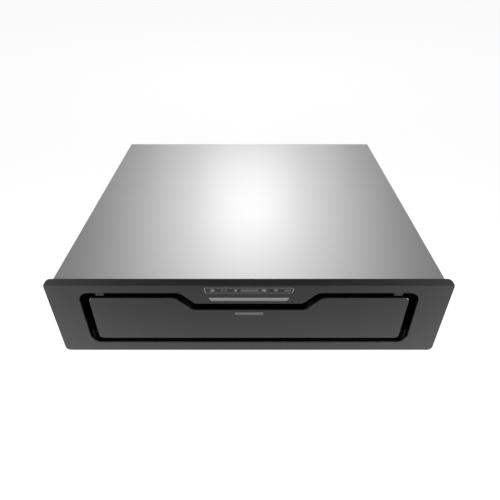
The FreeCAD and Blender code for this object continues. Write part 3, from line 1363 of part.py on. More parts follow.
# ---------------------------------------------------------------- put it together
def build():
    shapes["front_fascia"] = fascia()
    shapes["flange_gasket"] = flange_gasket()
    shapes["touch_strip"] = touch_strip()
    shapes["light_diffuser"] = light_diffuser()
    shapes["control_pod"] = control_pod()
    shapes["touch_board"] = touch_board()
    shapes["led_board"] = led_board()
    shapes["housing_shell"] = housing_shell()
    shapes["housing_base"] = housing_base()
    shapes["rear_wall"] = rear_wall()
    shapes["rubber_feet"] = rubber_feet()
    shapes["inlet_liner"] = inlet_liner()
    shapes["plenum_frame"] = plenum_frame()
    shapes["filter_rail"] = filter_rail()
    shapes["filter_frame"] = filter_frame()
    shapes["filter_mesh"] = filter_mesh()
    shapes["handle_ears"] = handle_ears()
    shapes["wire_handle"] = wire_handle()
    shapes["filter_channel"] = filter_channel()
    shapes["panel_skin"] = panel_skin()
    shapes["panel_back"] = panel_back()
    shapes["panel_badge"] = panel_badge()
    shapes["hinge_pins"] = hinge_pins()
    shapes["hinge_plates"] = hinge_plates()
    shapes["catch_brackets"] = catch_brackets()
    shapes["catch_magnets"] = catch_magnets()
    shapes["strike_plates"] = strike_plates()
    shapes["scroll_lower"] = scroll_lower()
    shapes["scroll_lid"] = scroll_lid()
    shapes["inlet_ring"] = inlet_ring()
    shapes["inlet_guard"] = inlet_guard()
    shapes["blower_posts"] = blower_posts()
    shapes["motor"] = motor()
    shapes["motor_bracket"] = motor_bracket()
    shapes["motor_grommets"] = motor_grommets()
    shapes["impeller"] = impeller()
    shapes["motor_shaft"] = motor_shaft()
    shapes["shaft_nut"] = shaft_nut()
    shapes["outlet_adapter"] = outlet_adapter()
    shapes["duct_collar"] = duct_collar()
    shapes["damper_pin"] = damper_pin()
    shapes["damper_flap_left"] = damper_flap(-1)
    shapes["damper_flap_right"] = damper_flap(1)
    shapes["damper_spring"] = damper_spring()
    shapes["control_box"] = control_box()
    shapes["control_box_lid"] = control_box_lid()
    shapes["main_board"] = main_board()
    shapes["terminal_block"] = terminal_block()
    shapes["run_capacitor"] = run_capacitor()
    shapes["capacitor_clip"] = capacitor_clip()
    shapes["cable_gland"] = cable_gland()
    shapes["gland_nut"] = gland_nut()
    shapes["wiring_loom"] = wiring_loom()
    shapes["fixing_springs"] = fixing_springs()
    shapes["housing_screws"] = screw_set(rear_screws() + base_screws(), 5.0)
    shapes["collar_screws"] = screw_set(collar_screws(), 6.0)
    fascia_places = [(V(x, BODY_FRONT + SHEET, z), V(0, -1, 0)) for x, z in fascia_screw_places()]
    shapes["fascia_screws"] = screw_set(fascia_places, 4.0)
    bracket_places = [(V(x, y, MOTOR_TOP + BRACKET_THICKNESS), V(0, 0, -1)) for x, y in motor_bolts()]
    shapes["motor_screws"] = screw_set(bracket_places, GROMMET_HEIGHT + BRACKET_THICKNESS + SCROLL_WALL)
    shapes["foot_screws"] = screw_set(foot_screws(), BOTTOM_OVERLAP - 1.0)


def export():
    os.makedirs("parts", exist_ok=True)
    for name, shape in shapes.items():
        shape.exportStep(f"parts/{name}.step")


build()
for node, shape in shapes.items():
    solid_count = len(shape.Solids)
    if not shape.isValid() or solid_count == 0:
        print("PROBLEM", node, "valid", shape.isValid(), "solids", solid_count)
export()
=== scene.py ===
"""Looks for a built-in cooker hood whose dark front panel has a suction slot all round it."""

import math

import bmesh
import bpy
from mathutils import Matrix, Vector


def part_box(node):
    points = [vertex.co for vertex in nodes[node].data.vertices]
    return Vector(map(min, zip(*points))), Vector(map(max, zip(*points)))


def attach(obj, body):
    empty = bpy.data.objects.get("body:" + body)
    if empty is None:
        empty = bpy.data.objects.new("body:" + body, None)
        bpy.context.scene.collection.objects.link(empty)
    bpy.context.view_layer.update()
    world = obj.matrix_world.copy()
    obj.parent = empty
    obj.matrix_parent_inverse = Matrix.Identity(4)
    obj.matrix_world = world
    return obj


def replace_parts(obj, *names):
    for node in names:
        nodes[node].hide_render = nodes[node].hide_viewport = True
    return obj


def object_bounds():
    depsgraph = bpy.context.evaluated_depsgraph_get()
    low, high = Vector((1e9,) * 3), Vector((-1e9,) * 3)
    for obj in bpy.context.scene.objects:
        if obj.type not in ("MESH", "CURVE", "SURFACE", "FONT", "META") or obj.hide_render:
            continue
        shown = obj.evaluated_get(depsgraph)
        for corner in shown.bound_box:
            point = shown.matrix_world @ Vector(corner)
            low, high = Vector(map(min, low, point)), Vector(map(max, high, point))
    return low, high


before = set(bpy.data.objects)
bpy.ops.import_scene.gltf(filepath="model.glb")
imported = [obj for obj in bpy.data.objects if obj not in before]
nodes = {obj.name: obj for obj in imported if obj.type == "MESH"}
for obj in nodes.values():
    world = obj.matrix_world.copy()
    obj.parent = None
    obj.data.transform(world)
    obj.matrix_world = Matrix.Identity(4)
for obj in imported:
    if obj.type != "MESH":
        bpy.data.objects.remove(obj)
cad_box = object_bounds()
MM = 0.001


# ---------------------------------------------------------------- front fascia
# Flange pressed from 1.5 mm steel, with a bevelled strip along its top and a cut-out round the
# panel. It is screwed to the housing's front edge, and its dark grey powder coat is satin, with a
# very fine peel.
class Flow:
    """A value or colour on its way through a material's nodes; arithmetic on it adds Math nodes."""

    def __init__(self, tree, socket=None):
        self.tree = tree
        self.socket = socket

    def node(self, kind, inputs=None, out=0, **settings):
        """Adds one node, its settings first and then its inputs, and gives one of its outputs."""
        made = self.tree.nodes.new("ShaderNode" + kind)
        for name, value in settings.items():
            setattr(made, name, value)
        for key, value in (inputs or {}).items():
            if isinstance(value, Flow):
                self.tree.links.new(value.socket, made.inputs[key])
            else:
                made.inputs[key].default_value = value
        return Flow(self.tree, made.outputs[out])

    def maths(self, operation, *values):
        return self.node("Math", dict(enumerate(values)), operation=operation)

    def __add__(self, other):
        return self.maths("ADD", self, other)

    def __sub__(self, other):
        return self.maths("SUBTRACT", self, other)

    def __mul__(self, other):
        return self.maths("MULTIPLY", self, other)

    def __rsub__(self, other):
        return self.maths("SUBTRACT", other, self)

    __radd__ = __add__
    __rmul__ = __mul__

    def between(self, low, high):
        """0 at or under low, 1 at or over high, and smooth from one to the other."""
        return self.node("MapRange", {0: self, 1: low, 2: high}, interpolation_type="SMOOTHSTEP")

    def mix(self, low, high):
        """Colour that goes from low to high as this value goes from 0 to 1."""
        ends = [end if isinstance(end, Flow) else (*end, 1) for end in (low, high)]
        return self.node("Mix", {0: self, 6: ends[0], 7: ends[1]}, out=2, data_type="RGBA")


class Coat:
    """One finish: a Principled shader, with the piece's own place in space to vary it by."""

    def __init__(self, name, **constants):
        self.material = bpy.data.materials.new(name)
        self.material.use_nodes = True
        tree = self.material.node_tree
        self.shader = tree.nodes["Principled BSDF"]
        self.start = Flow(tree)
        self.place = self.start.node("TexCoord", out="Object")
        for socket, value in constants.items():
            self.shader.inputs[socket.replace("_", " ")].default_value = value

    def along(self, axis):
        """Distance from the frame's origin along axis 0, 1 or 2, in metres."""
        return self.start.node("SeparateXYZ", {0: self.place}, out=axis)

    def noise(self, per_metre, detail=2.0, stretch=(1, 1, 1)):
        """Noise from 0 to 1, so many grains to a metre, drawn out by a factor along each axis."""
        spot = self.start.node("Mapping", {"Vector": self.place, "Scale": [1 / s for s in stretch]})
        return self.start.node("TexNoise", {"Vector": spot, "Scale": per_metre, "Detail": detail})

    def feed(self, socket, flow):
        self.start.tree.links.new(flow.socket, self.shader.inputs[socket])
        return self

    def relief(self, height, depth):
        """Raises the surface by depth metres where height is 1."""
        return self.feed("Normal", self.start.node("Bump", {"Height": height, "Distance": depth}))

    def on(self, *names):
        """Gives this finish to CAD nodes by name."""
        for name in names:
            nodes[name].data.materials.clear()
            nodes[name].data.materials.append(self.material)
        return self


def powder_coat(name, dark, light, roughness, peel_per_metre=900, peel=6e-6):
    """Satin powder coat: faint clouds in its colour, a fine peel and a slightly uneven gloss."""
    coat = Coat(name, Metallic=0.0)
    cloud = coat.noise(14, detail=4.0)
    speck = coat.noise(5200, detail=1.0)
    coat.colour = (cloud * 0.6 + speck * 0.4).mix(dark, light)
    coat.feed("Base Color", coat.colour)
    coat.feed("Roughness", cloud * 0.06 + speck * 0.05 + (roughness - 0.055))
    return coat.relief(coat.noise(peel_per_metre), peel)


fascia_dark, fascia_light = (0.0195, 0.0195, 0.0200), (0.0325, 0.0325, 0.0332)
fascia_coat = powder_coat("fascia powder coat", fascia_dark, fascia_light, 0.36)
# The cut-out's folded edge, behind the face and within the liner's outline, is coloured near-black:
# painted shade, so the slot reads as one dark line.
fascia_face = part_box("front_fascia")[0].y
liner_low, liner_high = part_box("inlet_liner")
shade_margin = 1.0 * MM
# Near-black colour for the folds behind the face: painted shade.
fold_shade_black = (0.002, 0.002, 0.002)
across, back, up = (fascia_coat.along(axis) for axis in range(3))
behind_face = back.between(fascia_face + shade_margin, fascia_face + 2 * shade_margin)
under_top = 1 - up.between(liner_high.z, liner_high.z + shade_margin)
over_foot = up.between(liner_low.z - shade_margin, liner_low.z)
in_left = across.between(liner_low.x - shade_margin, liner_low.x)
in_right = 1 - across.between(liner_high.x, liner_high.x + shade_margin)
# Mask of the fold behind the face, inside the slot: where the painted shade goes.
slot_shade_mask = behind_face * under_top * over_foot * in_left * in_right
fascia_coat.feed("Base Color", slot_shade_mask.mix(fascia_coat.colour, fold_shade_black))
fascia_coat.on("front_fascia")


# ---------------------------------------------------------------- flange gasket
# Two strips of closed-cell EPDM foam, die-cut and stuck behind the fascia's side flanges.
# They seal the gap to the cabinet's edges, and their cut skin shows small burst cells.
foam = Coat("gasket foam", Metallic=0.0, Roughness=0.92, Specular_IOR_Level=0.2)
cells = foam.start.node("TexVoronoi", {"Vector": foam.place, "Scale": 1900})
foam.feed("Base Color", cells.mix((0.006, 0.006, 0.006), (0.024, 0.024, 0.025)))
foam.relief(cells, 1.5e-4)
foam.on("flange_gasket")


# ---------------------------------------------------------------- touch strip
# Strip of dark toughened glass let into the lobe, a hair below the coat, with seven touch places.
# Its keys and the thin frame round them are printed in pale ceramic ink, about 0.03 mm thick.
glass = Coat("touch glass", Metallic=0.0, IOR=1.5)
glass.feed("Base Color", glass.noise(60).mix((0.020, 0.021, 0.023), (0.026, 0.027, 0.029)))
smear = glass.noise(45, detail=4.0, stretch=(4, 1, 1))
glass.feed("Roughness", smear * 0.12 + 0.22)
glass.on("touch_strip")

glass_low, glass_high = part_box("touch_strip")
shoulder = 1.5 * MM
print_half = glass_high.x - shoulder
print_high = glass_high.z - shoulder
print_low = glass_low.z + shoulder
ink_thickness = 0.03 * MM
print_bite = 0.01 * MM
print_seat = glass_low.y + print_bite
print_rise = Vector((0, -ink_thickness - print_bite, 0))
key_z = (print_low + print_high) / 2
key_pitch = 17 * MM
first_left, first_right = -19.3 * MM, 22.2 * MM
left_keys = [first_left - i * key_pitch for i in range(3)]
right_keys = [first_right + i * key_pitch for i in range(3)]


def ribbon(build, path, width, closed=False):
    """A flat line of even width through points (x, z) on the glass."""
    sharpest = 0.4          # no corner reaches further than a mitre of this cosine
    spots = [Vector(p) for p in path]
    count = len(spots)
    sides = []
    for i, spot in enumerate(spots):
        before = spots[i - 1] if closed or i > 0 else spot
        after = spots[(i + 1) % count] if closed or i < count - 1 else spot
        into = (spot - before).normalized() if before != spot else (after - spot).normalized()
        out = (after - spot).normalized() if after != spot else into
        mitre = (into + out).normalized()
        reach = width / 2 / max(mitre.dot(into), sharpest)
        aside = Vector((-mitre.y, mitre.x)) * reach
        pair = spot - aside, spot + aside
        sides.append([build.verts.new((p.x, print_seat, p.y)) for p in pair])
    for i in range(count if closed else count - 1):
        a, b = sides[i], sides[(i + 1) % count]
        build.faces.new((a[0], b[0], b[1], a[1]))


def thicken(build, offset):
    """Gives every flat face so far a body that reaches to the offset."""
    lifted = bmesh.ops.extrude_face_region(build, geom=build.faces[:])["geom"]
    points = [part for part in lifted if isinstance(part, bmesh.types.BMVert)]
    bmesh.ops.translate(build, vec=offset, verts=points)


def bow(x, z, radius, start=0, turn=360, steps=20):
    """Points on an arc about (x, z), angles in degrees."""
    angles = [math.radians(start + turn * i / steps) for i in range(steps + (turn < 360))]
    return [(x + radius * math.cos(a), z + radius * math.sin(a)) for a in angles]


def piece(name, build, coat, body):
    """Turns a finished bmesh into a piece of the hood that moves with a body."""
    bmesh.ops.recalc_face_normals(build, faces=build.faces)
    mesh = bpy.data.meshes.new(name)
    build.to_mesh(mesh)
    build.free()
    mesh.shade_smooth()
    mesh.set_sharp_from_angle(angle=math.radians(35))
    mesh.materials.append(coat.material)
    made = bpy.data.objects.new(name, mesh)
    bpy.context.scene.collection.objects.link(made)
    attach(made, body)
    return made


prints = bmesh.new()
# Frame: wider at the top than at the bottom, with heavier ends.
frame_inset = 0.5 * MM
frame_slope = 1.3 * MM
top_half = print_half - frame_inset
low_half = top_half - frame_slope
high = print_high - frame_inset
low = print_low + frame_inset
hairline, line, end_line, bold = 0.35 * MM, 0.55 * MM, 0.75 * MM, 0.8 * MM
for z, half in ((high, top_half), (low, low_half)):
    ribbon(prints, [(-half, z), (half, z)], hairline)
for side in (-1, 1):
    ribbon(prints, [(side * top_half, high), (side * low_half, low)], end_line)
# Power: an open ring with a stroke through its gap, and a tick each side.
power = left_keys[2]
stroke_low, stroke_high = key_z + 0.3 * MM, key_z + 2.6 * MM
tick_near, tick_far, tick_width = 2.8 * MM, 3.8 * MM, 0.9 * MM
ribbon(prints, bow(power, key_z, 1.9 * MM, start=120, turn=300), bold)
ribbon(prints, [(power, stroke_low), (power, stroke_high)], bold)
for side in (-1, 1):
    tick = [(power + side * reach, key_z) for reach in (tick_near, tick_far)]
    ribbon(prints, tick, tick_width)
# Run-on timer: three upright strokes.
stroke_pitch = 3.0 * MM
for i, reach in ((-1, 1.8 * MM), (0, 1.2 * MM), (1, 1.8 * MM)):
    x = left_keys[1] + i * stroke_pitch
    ribbon(prints, [(x, key_z - reach), (x, key_z + reach)], line)
# Slower and faster: a disc with rounded blades, small and large.
hub_radius, hub_width, tip_radius = 0.6 * MM, 1.15 * MM, 1.9 * MM
for x, size in ((left_keys[0], 1.0), (right_keys[0], 1.25)):
    ribbon(prints, bow(x, key_z, hub_radius * size), hub_width * size, closed=True)
    for i in range(3):
        ribbon(prints, bow(x, key_z, tip_radius * size, start=120 * i + 15, turn=55, steps=6), line)
bar_reach, bar_half = 3.9 * MM, 1.1 * MM
for side in (-1, 1):
    x = right_keys[0] + side * bar_reach
    ribbon(prints, [(x, key_z - bar_half), (x, key_z + bar_half)], line)
# Light: a ring with five rays.
lamp_radius, ray_near, ray_far, ray_width = 1.3 * MM, 2.1 * MM, 3.3 * MM, 0.45 * MM
ribbon(prints, bow(right_keys[1], key_z, lamp_radius), line, closed=True)
for i in range(5):
    turn = math.radians(45 * i)
    ray = Vector((math.cos(turn), math.sin(turn)))
    middle = Vector((right_keys[1], key_z))
    ribbon(prints, [middle + ray * ray_near, middle + ray * ray_far], ray_width)
# Filter reminder: two rows of short dashes.
dash_pitch, dash_half, dash_width, row_half = 1.9 * MM, 0.55 * MM, 0.7 * MM, 0.9 * MM
for i in range(5):
    x = right_keys[2] + (i - 2) * dash_pitch
    for z in (key_z - row_half, key_z + row_half):
        ribbon(prints, [(x - dash_half, z), (x + dash_half, z)], dash_width)
thicken(prints, print_rise)
ink = Coat("key ink", Metallic=0.0)
worn = ink.noise(900, detail=3.0)
ink.feed("Base Color", worn.mix((0.44, 0.445, 0.45), (0.54, 0.545, 0.55)))
ink.feed("Roughness", worn * 0.2 + 0.45)
piece("strip_print", prints, ink, "hood")

# Slider between the two groups of keys: one broad bar in a thinner, darker tint.
slider_half, slider_width = 12.9 * MM, 3.8 * MM
slider_x = 1.0 * MM
slider = bmesh.new()
ribbon(slider, [(slider_x - slider_half, key_z), (slider_x + slider_half, key_z)], slider_width)
thicken(slider, print_rise)
tint = Coat("slider tint", Metallic=0.0)
tint.feed("Base Color", tint.noise(1400).mix((0.115, 0.118, 0.12), (0.15, 0.153, 0.156)))
tint.feed("Roughness", tint.noise(300) * 0.1 + 0.4)
piece("slider_print", slider, tint, "hood")


# ---------------------------------------------------------------- light bar
# Opal acrylic bar pushed into the lobe from behind, with a fine frosted face and a shoulder that
# holds it. Its colour is grey, darker towards its lower edge: painted shade on a white bar.
opal = Coat("opal diffuser", Metallic=0.0, Subsurface_Weight=0.15, Subsurface_Scale=0.002)
bar_low, bar_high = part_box("light_diffuser")
bar_shoulder = 2 * MM
shade_rise = opal.along(2).between(bar_low.z + bar_shoulder, bar_high.z - bar_shoulder)
frost = opal.noise(2600, detail=1.0)
# Grey tones darkening towards the lower edge: painted shade.
shaded_low, shaded_high = (0.22, 0.225, 0.235), (0.36, 0.366, 0.376)
opal.feed("Base Color", (shade_rise * 0.8 + frost * 0.2).mix(shaded_low, shaded_high))
opal.feed("Roughness", frost * 0.12 + 0.38)
opal.relief(frost, 1e-5)
opal.on("light_diffuser")


# ---------------------------------------------------------------- control pod and its two boards
# Black ABS box clipped behind the lobe, moulded with a fine spark-eroded texture.
# In it sit the touch board and the narrow board of nine white light-emitting diodes.
def moulded(name, dark, light, roughness, pebble_per_metre=2400, pebble=1.2e-5):
    """Moulded plastic with a fine pebbled texture and a faint mottle."""
    coat = Coat(name, Metallic=0.0)
    mottle = coat.noise(30, detail=3.0)
    grit = coat.noise(pebble_per_metre, detail=1.0)
    coat.feed("Base Color", (mottle * 0.5 + grit * 0.5).mix(dark, light))
    coat.feed("Roughness", grit * 0.08 + mottle * 0.05 + (roughness - 0.065))
    return coat.relief(grit, pebble)


moulded("pod plastic", (0.010, 0.010, 0.011), (0.018, 0.018, 0.019), 0.5).on("control_pod")


def circuit_board(name, axis, face, above, parts):
    """Green solder mask over copper tracks; what stands past its face has its parts' colours."""
    coat = Coat(name, Metallic=0.0)
    squares = {"Vector": coat.place, "Scale": 210}
    tracks = coat.start.node("TexVoronoi", squares, distance="CHEBYCHEV").between(0.40, 0.48)
    mask = tracks.mix((0.008, 0.075, 0.028), (0.014, 0.13, 0.045))
    blur = 0.1 * MM
    raised = coat.along(axis).between(face - blur, face + blur)
    if not above:
        raised = 1 - raised
    coat.feed("Base Color", raised.mix(mask, coat.noise(400).mix(*parts)))
    coat.feed("Roughness", coat.noise(700) * 0.15 + 0.28)
    return coat.relief(tracks, 3e-5)


board_thickness = 1.6 * MM
touch_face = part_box("touch_board")[0].y + board_thickness
touch_parts = ((0.012, 0.012, 0.012), (0.05, 0.05, 0.05))
circuit_board("touch board", 1, touch_face, True, touch_parts).on("touch_board")
led_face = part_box("led_board")[1].y - board_thickness
led_parts = ((0.80, 0.72, 0.40), (0.90, 0.84, 0.55))
circuit_board("led board", 1, led_face, False, led_parts).on("led_board")


# ---------------------------------------------------------------- housing
# Top and sides folded from one satin stainless sheet, brushed from the front to the rear.
# The base and rear wall are galvanised steel, screwed inside it through their folded edges.
def brushed(name, dark, light, roughness, stretch, grain=2600, groove=3e-6):
    """Metal brushed one way: long streaks in brightness and gloss, and fine grooves along them."""
    coat = Coat(name, Metallic=1.0)
    streak = coat.noise(grain, detail=3.0, stretch=stretch)
    broad = coat.noise(6)
    coat.feed("Base Color", (streak * 0.7 + broad * 0.3).mix(dark, light))
    coat.feed("Roughness", streak * 0.10 + broad * 0.04 + (roughness - 0.07))
    return coat.relief(streak, groove)


front_to_rear = (1, 60, 1)
stainless = brushed("satin stainless", (0.44, 0.44, 0.44), (0.52, 0.52, 0.52), 0.36,
                    front_to_rear, grain=2200, groove=1.5e-6)
stainless.on("housing_shell")


def galvanised(name, dark, light, roughness=0.40, spangle_per_metre=130):
    """Hot-dip zinc: small flat crystals, each with its own brightness and gloss."""
    coat = Coat(name, Metallic=1.0)
    spangles = {"Vector": coat.place, "Scale": spangle_per_metre}
    crystals = coat.start.node("TexVoronoi", spangles, out="Color")
    shade = crystals.node("SeparateColor", {0: crystals}, out=0)
    haze = coat.noise(9, detail=4.0)
    coat.feed("Base Color", (shade * 0.55 + haze * 0.45).mix(dark, light))
    coat.feed("Roughness", shade * 0.12 + haze * 0.06 + (roughness - 0.09))
    return coat.relief(coat.noise(1500), 2e-6)


zinc_sheet = galvanised("galvanised sheet", (0.38, 0.39, 0.40), (0.50, 0.51, 0.52))
zinc_sheet.on("housing_base", "rear_wall", "motor_bracket")

# Blank rating plate: thin anodised aluminium held on the rear wall by four blind rivets.
plate_half = Vector((36 * MM, 21 * MM))
plate_thickness = 0.4 * MM
plate_corner = 3 * MM
wall_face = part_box("rear_wall")[1].y
plate_at = Vector((-175 * MM, wall_face, 98 * MM))


def turned(build, profile, at, along, segments=32, flute=None):
    """A turned solid: rings of (radius, height) about an axis, closed at an end where radius is 0.

    flute, if given, scales each point's radius by its angle and height.
    """
    spin = Vector((0, 0, 1)).rotation_difference(Vector(along)).to_matrix()
    rings = []
    for radius, height in profile:
        if radius == 0:
            rings.append([build.verts.new(Vector(at) + spin @ Vector((0, 0, height)))])
            continue
        ring = []
        for i in range(segments):
            angle = 2 * math.pi * i / segments
            r = radius * (flute(angle, height) if flute else 1)
            spot = Vector((r * math.cos(angle), r * math.sin(angle), height))
            ring.append(build.verts.new(Vector(at) + spin @ spot))
        rings.append(ring)
    for lower, upper in zip(rings, rings[1:]):
        for i in range(segments):
            j = (i + 1) % segments
            corners = [lower[k % len(lower)] for k in (i, j)]
            corners += [upper[k % len(upper)] for k in (j, i)]
            build.faces.new(list(dict.fromkeys(corners)))
    return rings


def plate_spot(side, level, inset, out=0.0):
    """Point on the rating plate, in from one of its four corners."""
    x = side * (plate_half.x - inset)
    z = level * (plate_half.y - inset)
    return plate_at + Vector((x, out, z))


plate = bmesh.new()
outline = []
for side, level, start in ((1, 1, 0), (-1, 1, 90), (-1, -1, 180), (1, -1, 270)):
    middle = plate_spot(side, level, plate_corner)
    outline += bow(middle.x, middle.z, plate_corner, start=start, turn=90, steps=6)
ring = [plate.verts.new((x, wall_face, z)) for x, z in outline]
plate.faces.new(ring)
thicken(plate, (0, plate_thickness, 0))
rivet_inset = 5 * MM
rivet_mm = [(2.0, 0), (1.9, 0.4), (1.4, 0.75), (0.6, 0.85), (0, 0.85)]
rivet_dome = [(radius * MM, height * MM) for radius, height in rivet_mm]
for side in (-1, 1):
    for level in (-1, 1):
        place = plate_spot(side, level, rivet_inset, plate_thickness)
        turned(plate, rivet_dome, place, (0, 1, 0), segments=20)
anodised = brushed("anodised plate", (0.50, 0.50, 0.51), (0.60, 0.60, 0.61), 0.36,
                   (30, 1, 1), grain=1800, groove=2e-6)
piece("rating_plate", plate, anodised, "hood")


# ---------------------------------------------------------------- screws
# Zinc-plated pan heads with a cross recess and a rolled thread, driven into the sheet's folded
# edges. Each takes the place and direction of the plain screw that it stands for.
def loose_solids(node):
    """The separate solids of a CAD node, each as a list of its points."""
    same_point = 1e-6
    build = bmesh.new()
    build.from_mesh(nodes[node].data)
    bmesh.ops.remove_doubles(build, verts=build.verts, dist=same_point)
    left = set(build.verts)
    solids = []
    while left:
        front = [left.pop()]
        solid = []
        while front:
            vert = front.pop()
            solid.append(vert.co.copy())
            for edge in vert.link_edges:
                other = edge.other_vert(vert)
                if other in left:
                    left.remove(other)
                    front.append(other)
        solids.append(solid)
    build.free()
    return sorted(solids, key=lambda points: tuple(round(c, 6) for c in points_middle(points)))


def points_middle(points):
    return sum(points, Vector()) / len(points)


def screw_line(points):
    """A plain screw's tip, the way it points and its length; the tip is its smaller flat end."""
    flat = 1e-5
    best = None
    for axis in range(3):
        across = [k for k in range(3) if k != axis]
        for pick, sign in ((max, 1), (min, -1)):
            end = pick(p[axis] for p in points)
            disc = [p for p in points if abs(p[axis] - end) < flat]
            spans = [max(p[k] for p in disc) - min(p[k] for p in disc) for k in across]
            if min(spans) > MM and (best is None or max(spans) < best[0]):
                length = max(p[axis] for p in points) - min(p[axis] for p in points)
                best = (max(spans), points_middle(disc), axis, sign, length)
    _, tip, axis, sign, length = best
    direction = Vector([sign if k == axis else 0 for k in range(3)])
    return tip, direction, length


def pan_head_screw(build, tip, direction, length):
    """A pan head with a cross recess on a rolled thread, its tip and length as given."""
    head_height = 2.2 * MM
    shank = length - head_height
    pitch = 0.8 * MM
    root, crest = 1.45 * MM, 1.9 * MM
    profile = [(0, 0), (root * 0.6, 0)]
    for i in range(int(shank / pitch)):
        for radius, share in ((root, 0.15), (crest, 0.5), (root, 0.85)):
            profile.append((radius, (i + share) * pitch))
    head_mm = [(3.45, 0), (3.6, 0.3), (3.5, 1.1), (3.0, 1.75), (2.2, 2.1)]
    profile.append((root, shank - 0.05 * MM))
    profile += [(radius * MM, shank + height * MM) for radius, height in head_mm]
    rim = turned(build, profile, tip, -direction, segments=24)[-1]

    spin = Vector((0, 0, 1)).rotation_difference(-direction).to_matrix()
    arm, reach = 0.38 * MM, 1.75 * MM
    crown, sole_height = shank + 2.1 * MM, shank + 0.8 * MM
    sole_long, sole_wide = 0.55, 0.7
    cross = []
    for quarter in range(4):
        a = math.pi / 2 * quarter
        for u, v in ((reach, -arm), (reach, arm), (arm, arm)):
            cross.append((u * math.cos(a) - v * math.sin(a), u * math.sin(a) + v * math.cos(a)))
    mouth = [build.verts.new(tip + spin @ Vector((u, v, crown))) for u, v in cross]
    sole = [build.verts.new(tip + spin @ Vector((u * sole_long, v * sole_wide, sole_height)))
            for u, v in cross]
    count = len(cross)
    for i in range(count):
        build.faces.new((mouth[i], mouth[(i + 1) % count], sole[(i + 1) % count], sole[i]))
    build.faces.new(sole)
    loops = [(rim, len(rim)), (mouth, count)]
    edges = [build.edges.get((loop[i], loop[(i + 1) % n])) for loop, n in loops for i in range(n)]
    bmesh.ops.triangle_fill(build, edges=edges, use_beauty=True)


plated = brushed("zinc plate", (0.50, 0.50, 0.48), (0.64, 0.64, 0.61), 0.30,
                 (1, 1, 1), grain=900, groove=2e-6)
for node in ("housing_screws", "collar_screws", "motor_screws", "foot_screws", "fascia_screws"):
    driven = bmesh.new()
    for points in loose_solids(node):
        pan_head_screw(driven, *screw_line(points))
    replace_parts(piece(node + "_cross", driven, plated, "hood"), node)


# ---------------------------------------------------------------- feet
# Four pads of black nitrile rubber with a slightly chalky moulded skin, screwed on from inside the
# base. They level the housing with the fascia's lower edge.
def rubber(name, dark, light, pore_per_metre=1600):
    """Moulded rubber: almost black, dull, with a chalky bloom and tiny pores."""
    coat = Coat(name, Metallic=0.0, Specular_IOR_Level=0.3)
    bloom = coat.noise(90, detail=5.0)
    pores = coat.noise(pore_per_metre, detail=1.0)
    coat.feed("Base Color", bloom.mix(dark, light))
    coat.feed("Roughness", bloom * 0.12 + 0.72)
    return coat.relief(pores, 2e-5)


black_rubber = rubber("black rubber", (0.010, 0.010, 0.010), (0.024, 0.024, 0.024))
black_rubber.on("rubber_feet", "motor_grommets")


# ---------------------------------------------------------------- side springs
# Leaf springs of blued spring steel on both sides that grip the cabinet until its screws are in.
# The blueing runs from straw to grey-blue in slow patches along the leaf.
leaf = Coat("blued spring steel", Metallic=1.0)
heat = leaf.noise(35, detail=3.0, stretch=(1, 3, 1))
leaf.feed("Base Color", heat.mix((0.20, 0.21, 0.24), (0.34, 0.33, 0.31)))
leaf.feed("Roughness", leaf.noise(1200, stretch=(1, 20, 1)) * 0.12 + 0.26)
leaf.relief(leaf.noise(2000, stretch=(1, 25, 1)), 2e-6)
leaf.on("fixing_springs")


# ---------------------------------------------------------------- suction liner and plenum frame
# Black moulded duct wall that carries the cut-out's outline back to a black-painted steel bulkhead.
# Both are dull, and the duct wall is coloured darker than black plastic: painted shade, so that
# the slot round the panel reads as a plain dark line.
# Black plastic made darker than its own colour: painted shade inside the slot.
liner_black_and_shade = moulded("liner plastic and painted shade", (0.0012, 0.0012, 0.0012), (0.0035, 0.0035, 0.0035), 0.8)
liner_black_and_shade.shader.inputs["Specular IOR Level"].default_value = 0.05
liner_black_and_shade.on("inlet_liner")
frame_black = powder_coat("bulkhead paint", (0.003, 0.003, 0.003), (0.007, 0.007, 0.007), 0.6,
                          peel=4e-6)
frame_black.shader.inputs["Specular IOR Level"].default_value = 0.15
frame_black.on("plenum_frame", "filter_rail", "filter_channel", "hinge_plates")


# ---------------------------------------------------------------- grease filter
# Cassette of three layers of expanded aluminium mesh in a folded aluminium edge. Each layer is a
# sheet slit and stretched into diamonds, so its strands are flat, tilted and bonded in pairs.
edge_metal = brushed("filter edge", (0.52, 0.53, 0.54), (0.68, 0.69, 0.70), 0.34,
                     (30, 1, 1), grain=1800, groove=2e-6)
edge_metal.on("filter_frame", "handle_ears")

mesh_low, mesh_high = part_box("filter_mesh")
strand_width = 0.9 * MM
strand_thickness = 0.35 * MM
strand_slope = 0.28


def expanded_sheet(build, y, diamond, shift):
    """One layer: zigzag strands side by side, each touching the next where it turns."""
    long_way, short_way = diamond
    columns = int((mesh_high.x - mesh_low.x) / long_way) * 2
    rows = int((mesh_high.z - mesh_low.z) / short_way)
    half_step = (mesh_high.x - mesh_low.x) / columns
    row_step = (mesh_high.z - mesh_low.z) / rows
    swing = (row_step - strand_width) / 2
    half = strand_width / 2
    for row in range(rows):
        middle = mesh_low.z + (row + 0.5) * row_step
        last = None
        for column in range(columns):
            side = 1 if (row + column + shift) % 2 else -1
            for part in (0.3, 0.7):
                x = mesh_low.x + (column + part) * half_step
                z = middle + side * swing
                tilt = side * strand_width * strand_slope
                section = ((-half, -tilt), (half, tilt),
                           (half, tilt + strand_thickness), (-half, -tilt + strand_thickness))
                here = [build.verts.new((x, y + dy, z + dz)) for dz, dy in section]
                if last:
                    for i in range(4):
                        build.faces.new((last[i], last[(i + 1) % 4], here[(i + 1) % 4], here[i]))
                else:
                    build.faces.new(here)
                last = here
        build.faces.new(last)


